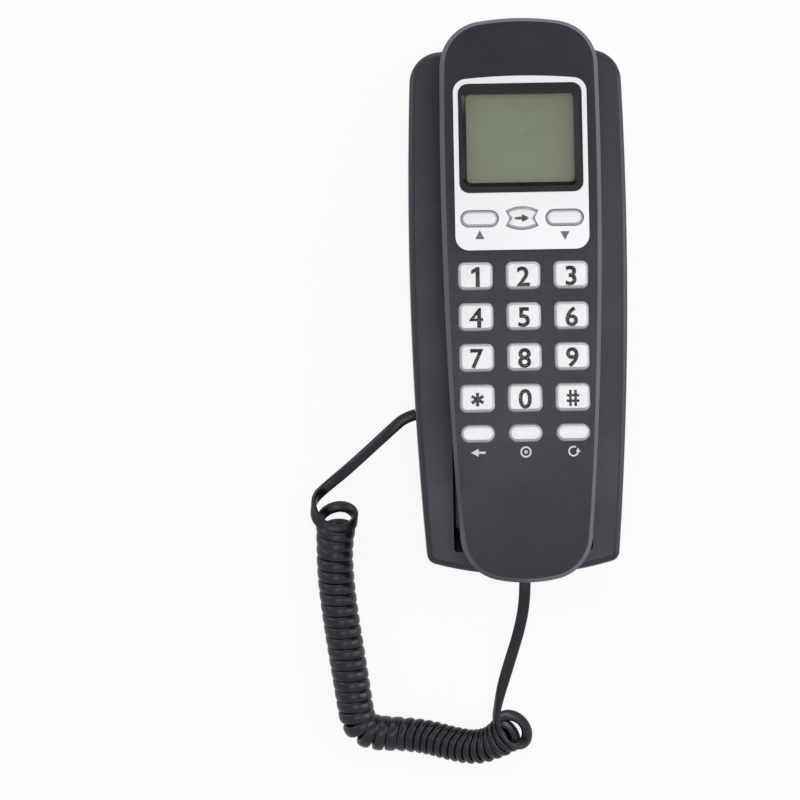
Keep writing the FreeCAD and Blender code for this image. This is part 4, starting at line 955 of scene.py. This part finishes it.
# Stations along the coil: share of the axis, pitch and mean radius in millimetres, how far the
# turns lean forward and how far the flat cord flares out from the axis, both in degrees.
STATIONS = [(0.00, 5.8, 9.8, 55, 0), (0.02, 5.8, 7.2, 54, 0), (0.06, 5.0, 6.5, 34, 0),
            (0.11, 4.4, 6.1, 14, 0), (0.44, 4.25, 6.1, 9, 0), (0.55, 4.3, 6.0, 3, 0),
            (0.655, 4.4, 5.7, -6, 0), (0.70, 3.7, 5.3, -20, 20), (0.76, 2.9, 5.0, -34, 34),
            (0.92, 2.8, 5.0, -40, 36), (0.965, 3.2, 5.8, -46, 34), (0.99, 4.5, 7.0, -58, 36),
            (1.00, 4.8, 7.0, -58, 75)]
START_PHASE = math.radians(134)
END_PHASE = math.radians(270)
AXIS_STEPS = 400
TURN_STEPS = 40
ROUTE_STEPS = 16
SECTION_STEPS = 16
OVAL = 0.8
LEAD = 3.0 * MM
BASE_TWIST_SHARE = 0.4
HANDSET_TWIST_SHARE = 0.6


def metres(points):
    return [Vector(point) * MM for point in points]


def route_line(points):
    """Points along the smooth line whose control points are given."""
    curve = bpy.data.curves.new("route", "CURVE")
    curve.dimensions = "3D"
    curve.resolution_u = ROUTE_STEPS
    spline = curve.splines.new("NURBS")
    spline.points.add(len(points) - 1)
    for spot, point in zip(spline.points, points):
        spot.co = (*point, 1)
    spline.order_u = 3
    spline.use_endpoint_u = True
    holder = bpy.data.objects.new("route", curve)
    mesh = bpy.data.meshes.new_from_object(holder)
    line = [vertex.co.copy() for vertex in mesh.vertices]
    bpy.data.meshes.remove(mesh)
    bpy.data.objects.remove(holder)
    bpy.data.curves.remove(curve)
    return line


class Line:
    """A line measured along its length."""

    def __init__(self, points):
        self.points = points
        self.marks = [0.0]
        for before, after in zip(points, points[1:]):
            self.marks.append(self.marks[-1] + (after - before).length)
        self.length = self.marks[-1]

    def at(self, distance):
        index = bisect.bisect(self.marks, distance)
        index = min(max(index, 1), len(self.marks) - 1)
        start, end = self.marks[index - 1], self.marks[index]
        return self.points[index - 1].lerp(self.points[index], (distance - start) / (end - start))

    def way(self, distance):
        return (self.at(distance + MM) - self.at(distance - MM)).normalized()


def station(share, column):
    """A coil's value at a share of its axis, eased between the stations."""
    for before, after in zip(STATIONS, STATIONS[1:]):
        if share <= after[0]:
            break
    ease = eased((share - before[0]) / (after[0] - before[0]))
    return before[column] + (after[column] - before[column]) * ease


class Coil:
    """The curly stretch: leaning turns round a bent axis on the floor, with the cord's flat way."""

    def __init__(self, cord):
        self.cord = cord
        axis = metres((x, y, 0) for x, y in COIL_AXIS)
        self.axis = Line(route_line(axis))
        step_length = self.axis.length / AXIS_STEPS
        turns = sum(step_length / self.pitch((step + 0.5) / AXIS_STEPS) for step in range(AXIS_STEPS))
        whole = math.floor(turns) + (END_PHASE - START_PHASE) / math.tau
        stretch = turns / whole
        self.points, self.flats = [], []
        distance, phase = 0.0, START_PHASE
        for _ in range(round(whole * TURN_STEPS) + 1):
            self.add(distance, phase)
            phase += math.tau / TURN_STEPS
            distance += self.pitch(distance / self.axis.length) * stretch / TURN_STEPS

    def pitch(self, share):
        return station(share, 1) * MM

    def add(self, distance, phase):
        """One more point of the turns, and the cord's flat way there."""
        share = distance / self.axis.length
        radius = station(share, 2) * MM
        lean, flare = math.radians(station(share, 3)), math.radians(station(share, 4))
        forward = self.axis.way(distance)
        side = UP.cross(forward).normalized()
        rise = UP * math.cos(lean) + forward * math.sin(lean)
        half = self.cord.thickness / 2 + (self.cord.width - self.cord.thickness) / 2 * math.sin(flare)
        height = radius * math.cos(lean) + half + self.cord.floor_gap
        outward = side * math.cos(phase) - rise * math.sin(phase)
        upright = side * math.cos(phase) - UP * math.sin(phase)
        self.points.append(self.axis.at(distance) + UP * height + outward * radius)
        self.flats.append(forward * math.cos(flare) + upright * math.sin(flare))

    def start_way(self):
        return (self.points[1] - self.points[0]).normalized()

    def end_way(self):
        return (self.points[-1] - self.points[-2]).normalized()


def eased_flats(count, start, end, share):
    """The flat way of a tail, turning from its start to its end within a share of its length."""
    return [start.lerp(end, eased(index / (count - 1) / share)) for index in range(count)]


def flat_section(cord):
    """A flat cord's section: an oval with full shoulders."""
    section = []
    for across, out in circle_plan(0, 0, 1, SECTION_STEPS):
        section.append((math.copysign(abs(across) ** OVAL, across) * cord.width / 2,
                        math.copysign(abs(out) ** OVAL, out) * cord.thickness / 2))
    return section


def squared(flat, forward):
    """A flat way made square to the way the cord runs."""
    return (flat - forward * flat.dot(forward)).normalized()


def sweep(name, points, flats, section, material):
    """A closed tube of one section along points, its flat way given at each."""
    shape = bmesh.new()
    rings = []
    for index, (point, flat) in enumerate(zip(points, flats)):
        before, after = points[max(index - 1, 0)], points[min(index + 1, len(points) - 1)]
        forward = (after - before).normalized()
        wide = squared(flat, forward)
        thin = forward.cross(wide)
        rings.append([shape.verts.new(point + wide * across + thin * out) for across, out in section])
    stack(shape, rings)
    return add_object(name, shape, material, smooth=True)


class PHONE_OT_cord(bpy.types.Operator):
    """Make the curly cord from the base's jack to the handset's"""
    bl_idname = "phone.cord"
    bl_label = "Curly Cord"

    def execute(self, context):
        paints, cord = context.scene.phone_colours, context.scene.phone_cord
        coil = Coil(cord)
        start, end = coil.points[0], coil.points[-1]
        base_tail = route_line([*metres(BASE_TAIL), start - coil.start_way() * LEAD, start])
        handset_tail = route_line([end, end + coil.end_way() * LEAD * 2, *metres(HANDSET_TAIL)])
        across, along = Vector((0, -1, 0)), Vector((1, 0, 0))
        first, last = squared(coil.flats[0], coil.start_way()), squared(coil.flats[-1], coil.end_way())
        flats = eased_flats(len(base_tail), first, across, BASE_TWIST_SHARE)[:0:-1]
        flats += coil.flats
        flats += eased_flats(len(handset_tail), last, along, HANDSET_TWIST_SHARE)[1:]
        points = base_tail[:-1] + coil.points + handset_tail[1:]
        soft = plastic("cord_plastic", paints.cord, 0.33, cloud=0.12, grain=1500, bump=0.06, specular=0.38,
                       sheen=VIOLET_SHEEN)
        piece = sweep("curly_cord", points, flats, flat_section(cord), soft)
        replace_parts(piece, "cord_tail_base", "cord_coil", "cord_tail_handset")
        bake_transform(piece)
        Line(points).length
        return {"FINISHED"}


# Stage.

FLOOR_RADIUS = 3
FLOOR_STEPS = 64
FLOOR_PAINT = (0.9, 0.9, 0.9)
FLOOR_GLOW = 0.9
SOFTBOX_PLACE, SOFTBOX_TARGET, SOFTBOX_SIZE = (0.06, -0.08, 1.25), (0.03, -0.02, 0), (0.72, 0.28)
STRIP_TARGET = (0, 0, 0.05)

# Strips round the phone: name, place, share of the side lamps' power, width and height.
STRIPS = [("right_strip", (0.85, 0.05, 0.4), 1.25, (0.3, 0.8)),
          ("top_strip", (0, 0.95, 0.42), 0.75, (0.7, 0.3)),
          ("left_strip", (-0.85, 0.3, 0.42), 0.45, (0.3, 0.5))]


def seen_rays(tree):
    """Bright for rays that show the background: camera, glossy and transmission rays."""
    path = tree.nodes.new("ShaderNodeLightPath")
    either = worked(tree, "MAXIMUM", (path, "Is Camera Ray"), (path, "Is Glossy Ray"))
    return worked(tree, "MAXIMUM", (either, "Value"), (path, "Is Transmission Ray"))


def floor_material():
    """A white floor that glows where it is looked at and keeps a faint shadow."""
    material = bpy.data.materials.new("white_floor")
    material.use_nodes = True
    tree = material.node_tree
    tree.nodes.clear()
    out = tree.nodes.new("ShaderNodeOutputMaterial")
    matt = settle(tree.nodes.new("ShaderNodeBsdfDiffuse"), Color=opaque(FLOOR_PAINT))
    mix = tree.nodes.new("ShaderNodeMixShader")
    share = worked(tree, "MULTIPLY", (seen_rays(tree), "Value"), FLOOR_GLOW)
    link(tree, share, "Value", mix, "Fac")
    link(tree, matt, "BSDF", mix, 1)
    link(tree, tree.nodes.new("ShaderNodeEmission"), "Emission", mix, 2)
    link(tree, mix, "Shader", out, "Surface")
    return material


def set_sky(scene, strength):
    world = bpy.data.worlds.new("sky")
    scene.world = world
    world.use_nodes = True
    tree = world.node_tree
    back = settle(tree.nodes["Background"], Color=WHITE)
    level = mapped(tree, seen_rays(tree), "Value", (0, 1), (strength, 1))
    link(tree, level, "Result", back, "Strength")


def add_lamp(name, place, target, power, size):
    lamp = bpy.data.lights.new(name, "AREA")
    lamp.shape = "RECTANGLE"
    lamp.energy = power
    lamp.size, lamp.size_y = size
    made = bpy.data.objects.new(name, lamp)
    made.location = place
    made.rotation_euler = (Vector(target) - Vector(place)).to_track_quat("-Z", "Y").to_euler()
    bpy.context.scene.collection.objects.link(made)


class PHONE_OT_stage(bpy.types.Operator):
    """Set up the white floor, the soft lamps and the camera"""
    bl_idname = "phone.stage"
    bl_label = "Stage"

    def execute(self, context):
        scene, stage = context.scene, context.scene.phone_stage
        scene.view_settings.view_transform = "Standard"
        shape = bmesh.new()
        add_polygon(shape, circle_plan(0, 0, FLOOR_RADIUS, FLOOR_STEPS))
        add_object("floor", shape, floor_material())
        set_sky(scene, stage.sky)
        add_lamp("softbox", SOFTBOX_PLACE, SOFTBOX_TARGET, stage.key_power, SOFTBOX_SIZE)
        for name, place, share, size in STRIPS:
            add_lamp(name, place, STRIP_TARGET, stage.side_power * share, size)
        camera = bpy.data.objects.new("camera", bpy.data.cameras.new("camera"))
        camera.location = stage.camera_place
        camera.rotation_euler = (0, 0, stage.camera_roll)
        camera.data.lens = stage.camera_lens
        scene.collection.objects.link(camera)
        scene.camera = camera
        return {"FINISHED"}


class PHONE_PT_sidebar(bpy.types.Panel):
    """The phone's makers, in order"""
    bl_idname = "PHONE_PT_sidebar"
    bl_label = "Corded Phone"
    bl_space_type = "VIEW_3D"
    bl_region_type = "UI"
    bl_category = "Phone"

    def draw(self, context):
        for maker in MAKERS:
            self.layout.operator(maker.bl_idname)
        for group in SETTINGS:
            settings = getattr(context.scene, group)
            for name in settings.__annotations__:
                self.layout.prop(settings, name)


MAKERS = (PHONE_OT_stage, PHONE_OT_cord, PHONE_OT_shells, PHONE_OT_display, PHONE_OT_keys, PHONE_OT_signs,
          PHONE_OT_fittings)
SETTINGS = {"phone_colours": PhoneColours, "phone_keys": PhoneKeys, "phone_cord": PhoneCord,
            "phone_stage": PhoneStage}


def register():
    for settings in SETTINGS.values():
        bpy.utils.register_class(settings)
    for name, settings in SETTINGS.items():
        setattr(bpy.types.Scene, name, PointerProperty(type=settings))
    for maker in (*MAKERS, PHONE_PT_sidebar):
        bpy.utils.register_class(maker)


def unregister():
    for maker in (PHONE_PT_sidebar, *reversed(MAKERS)):
        bpy.utils.unregister_class(maker)
    for name, settings in SETTINGS.items():
        delattr(bpy.types.Scene, name)
        bpy.utils.unregister_class(settings)


def main():
    register()
    bpy.ops.phone.stage()
    bpy.ops.phone.cord()
    bpy.ops.phone.shells()
    bpy.ops.phone.display()
    bpy.ops.phone.keys()
    bpy.ops.phone.signs()
    bpy.ops.phone.fittings()


if __name__ == "__main__":
    main()
